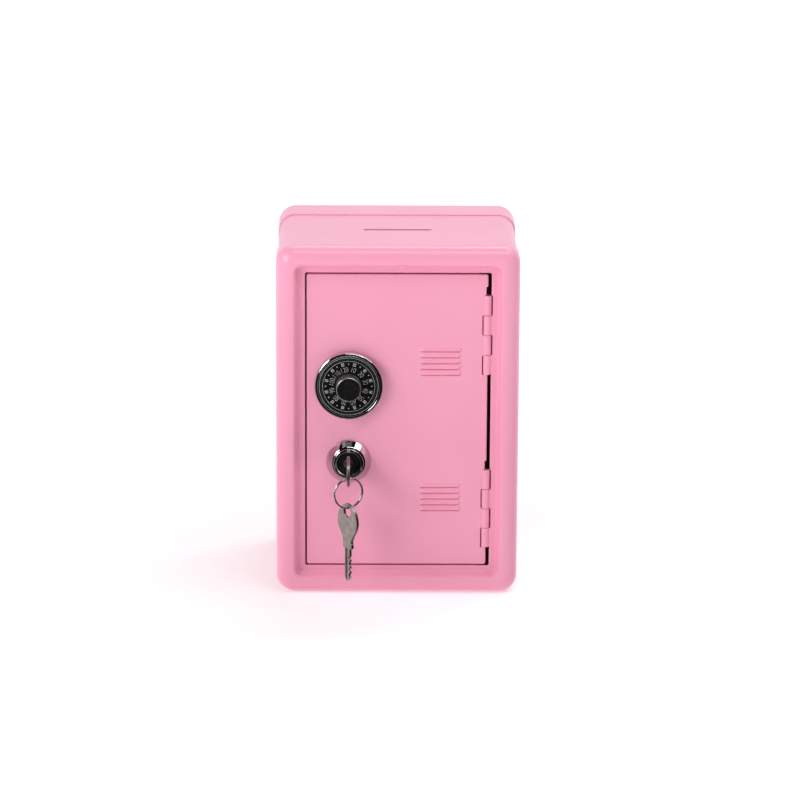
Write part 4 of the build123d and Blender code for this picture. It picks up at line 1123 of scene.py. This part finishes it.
key_ring_low, key_ring_high = (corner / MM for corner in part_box("key_ring"))
ring_centre = np.array((key_ring_low + key_ring_high) / 2)
RING_RADIUS = (key_ring_high.z - key_ring_low.z) / 2 - WIRE_RADIUS
ring_nickel = finish("ring_nickel", (0.5, 0.48, 0.46), {"Metallic": 1.0, "Roughness": 0.2})
tint(ring_nickel, grain(ring_nickel, 900, 3), (0.42, 0.4, 0.38), (0.58, 0.56, 0.54))
roughen(ring_nickel, grain(ring_nickel, 1200, 3), 0.14, 0.28)

# The wire's centreline is a circle whose sideways offset steps from one turn to the next over the
# crossing. The wire is round: its section's angle runs from outwards to sideways, and its radius closes
# at both ends.
winding = np.concatenate([[0, 0, 0.008, 0.02], np.linspace(0.04, 4 * pi - CROSSING - 0.1, 420)])
winding = np.concatenate([winding, winding[-1] + np.array([0.02, 0.032, 0.04, 0.04])])
thickness = WIRE_RADIUS * np.ones(len(winding))
end_shares = np.array([0, 0.6, 0.88])
thickness[:3] *= end_shares
thickness[-3:] *= end_shares[::-1]
step = np.clip((winding - (2 * pi - CROSSING)) / CROSSING, 0, 1)
sideways = 2 * WIRE_RADIUS * (step * step * (3 - 2 * step) - 0.5)
round_ring = (winding + CROSSING_AT)[:, None]
level_way = np.array([cos(RING_TURN), sin(RING_TURN), 0])
up_way = np.array([0, 0, 1])
side_way = np.array([sin(RING_TURN), -cos(RING_TURN), 0])
outwards = np.cos(round_ring) * level_way + np.sin(round_ring) * up_way
middle = ring_centre + RING_RADIUS * outwards + sideways[:, None] * side_way
section_angle = np.linspace(0, 2 * pi, 14, endpoint=False)[None, :, None]
wire = middle[:, None] + thickness[:, None, None] * (
    np.cos(section_angle) * outwards[:, None] + np.sin(section_angle) * side_way
)
piece("key_split_ring", [skin(wire * MM, False, True)], ring_nickel, "ring", "ring_wire", "key_ring")

# --------------------------------------------------------------------------------------------------
# Studio. A plain white floor, soft lights on the left, right, overhead and behind, soft light all round,
# and the camera, about 2 m away and 16 degrees above level.
# --------------------------------------------------------------------------------------------------
FLOOR_HALF = 12.0
floor_corners = np.array([(-1, -1, 0), (1, -1, 0), (1, 1, 0), (-1, 1, 0)]) * FLOOR_HALF
floor_mesh = bpy.data.meshes.new("studio_floor")
floor_mesh.from_pydata(floor_corners.tolist(), [], [(0, 1, 2, 3)])
floor_white = finish("floor_white", (0.9, 0.9, 0.9), {"Roughness": 0.9, "Specular IOR Level": 0.1})
tint(floor_white, grain(floor_white, 30, 2), (0.895, 0.895, 0.895), (0.905, 0.905, 0.905))

# The floor glows with a painted light: a little round the case, where its shading still shows, and more
# farther out until it is as white as the room
floor_nodes, floor_links = floor_white.node_tree.nodes, floor_white.node_tree.links
floor_place = floor_nodes.new("ShaderNodeTexCoord")
from_case = floor_nodes.new("ShaderNodeVectorMath")
from_case.operation = "LENGTH"
glow = floor_nodes.new("ShaderNodeMapRange")
glow.interpolation_type = "SMOOTHSTEP"
GLOW_NEAR, GLOW_FAR = 0.33, 1.0
for socket, value in {"From Min": 0.1, "From Max": 1.2, "To Min": GLOW_NEAR, "To Max": GLOW_FAR}.items():
    glow.inputs[socket].default_value = value
floor_shader = floor_nodes["Principled BSDF"]
floor_shader.inputs["Emission Color"].default_value = (1, 1, 1, 1)
floor_links.new(floor_place.outputs["Object"], from_case.inputs[0])
floor_links.new(from_case.outputs["Value"], glow.inputs["Value"])
floor_links.new(glow.outputs["Result"], floor_shader.inputs["Emission Strength"])
floor_mesh.materials.append(floor_white)
floor = bpy.data.objects.new("studio_floor", floor_mesh)
bpy.context.scene.collection.objects.link(floor)
floor.visible_glossy = False


def softbox(name, direction, distance, size, watts, colour=(1, 1, 1)):
    """A rectangular soft light at a distance from the middle of the case, facing it."""
    light = bpy.data.lights.new(name, "AREA")
    light.shape = "RECTANGLE"
    light.size, light.size_y = size
    light.energy = watts
    light.color = colour
    lamp = bpy.data.objects.new(name, light)
    way = Vector(direction).normalized()
    lamp.location = Vector((0, 0, HEIGHT / 2 * MM)) + way * distance
    lamp.rotation_euler = (-way).to_track_quat("-Z", "Z").to_euler()
    bpy.context.scene.collection.objects.link(lamp)
    return lamp


softbox("left_softbox", (-0.70, -0.58, 0.40), 1.5, (0.5, 1.4), 11.3)
softbox("overhead_softbox", (0.20, -0.42, 0.88), 1.5, (1.0, 0.35), 5.0)
softbox("right_softbox", (0.60, -0.12, 0.79), 1.4, (0.75, 0.6), 3.6)
softbox("back_softbox", (0.28, 0.42, 0.86), 1.7, (1.4, 0.5), 10.5)

# The room: even soft light for matt surfaces, but in mirrors it is dark in front and overhead, grey
# below, lighter low on the left, and bright behind
world = bpy.data.worlds.new("studio_light")
bpy.context.scene.world = world
world.use_nodes = True
world_nodes, world_links = world.node_tree.nodes, world.node_tree.links
around = world_nodes["Background"]
path = world_nodes.new("ShaderNodeLightPath")
gloss = world_nodes.new("ShaderNodeBackground")
seen = world_nodes.new("ShaderNodeBackground")
mix_seen = world_nodes.new("ShaderNodeMixShader")
mix_gloss = world_nodes.new("ShaderNodeMixShader")
ROOM_LIGHT = 0.13
DARK_ROOM = 0.01
around.inputs["Color"].default_value = (1, 1, 1, 1)
around.inputs["Strength"].default_value = ROOM_LIGHT
gloss.inputs["Color"].default_value = (1, 1, 1, 1)
seen.inputs["Color"].default_value = (1, 1, 1, 1)
seen.inputs["Strength"].default_value = 1.0
way_out = world_nodes.new("ShaderNodeTexCoord").outputs["Generated"]


def room_part(direction, edge, full, strength):
    """Light that mirrors see from one direction: none below one cosine to it, all above another."""
    toward = world_nodes.new("ShaderNodeVectorMath")
    toward.operation = "DOT_PRODUCT"
    toward.inputs[1].default_value = Vector(direction).normalized()
    world_links.new(way_out, toward.inputs[0])
    spread = world_nodes.new("ShaderNodeMapRange")
    spread.interpolation_type = "SMOOTHSTEP"
    values = {"From Min": edge, "From Max": full, "To Min": 0.0, "To Max": strength}
    for socket, value in values.items():
        spread.inputs[socket].default_value = value
    world_links.new(toward.outputs["Value"], spread.inputs["Value"])
    return spread.outputs["Result"]


room_parts = [
    room_part((0, 0, -1), 0.5, 0.9, 0.25),
    room_part((-0.94, 0.2, -0.27), 0.7, 0.95, 0.6),
    room_part((0, 1, 0.1), 0.1, 0.6, 1.05),
]
total = None
for part in room_parts:
    add = world_nodes.new("ShaderNodeMath")
    add.operation = "ADD"
    add.inputs[1].default_value = DARK_ROOM
    world_links.new(part, add.inputs[0])
    if total:
        world_links.new(total, add.inputs[1])
    total = add.outputs[0]
world_links.new(total, gloss.inputs["Strength"])
world_links.new(path.outputs["Is Glossy Ray"], mix_gloss.inputs[0])
world_links.new(around.outputs[0], mix_gloss.inputs[1])
world_links.new(gloss.outputs[0], mix_gloss.inputs[2])
world_links.new(path.outputs["Is Camera Ray"], mix_seen.inputs[0])
world_links.new(mix_gloss.outputs[0], mix_seen.inputs[1])
world_links.new(seen.outputs[0], mix_seen.inputs[2])
world_links.new(mix_seen.outputs[0], world_nodes["World Output"].inputs["Surface"])
bpy.context.scene.view_settings.view_transform = "Standard"

CAMERA_AIM = (1.215, CASE_FRONT, 100.9)
CAMERA_DISTANCE = 2041.9
CAMERA_AZIMUTH = radians(-0.588)
CAMERA_ELEVATION = radians(15.80)
CAMERA_ROLL = radians(0.309)
camera = bpy.data.objects.new("studio_camera", bpy.data.cameras.new("studio_camera"))
camera.data.lens = 186.45
camera.data.sensor_width = 36.0
camera.data.clip_start, camera.data.clip_end = 0.05, 100
backwards = Vector(
    (
        sin(CAMERA_AZIMUTH) * cos(CAMERA_ELEVATION),
        -cos(CAMERA_AZIMUTH) * cos(CAMERA_ELEVATION),
        sin(CAMERA_ELEVATION),
    )
)
camera.location = (Vector(CAMERA_AIM) + backwards * CAMERA_DISTANCE) * MM
camera.rotation_mode = "QUATERNION"
camera.rotation_quaternion = (-backwards).to_track_quat("-Z", "Y") @ Quaternion((0, 0, 1), CAMERA_ROLL)
bpy.context.scene.collection.objects.link(camera)
bpy.context.scene.camera = camera
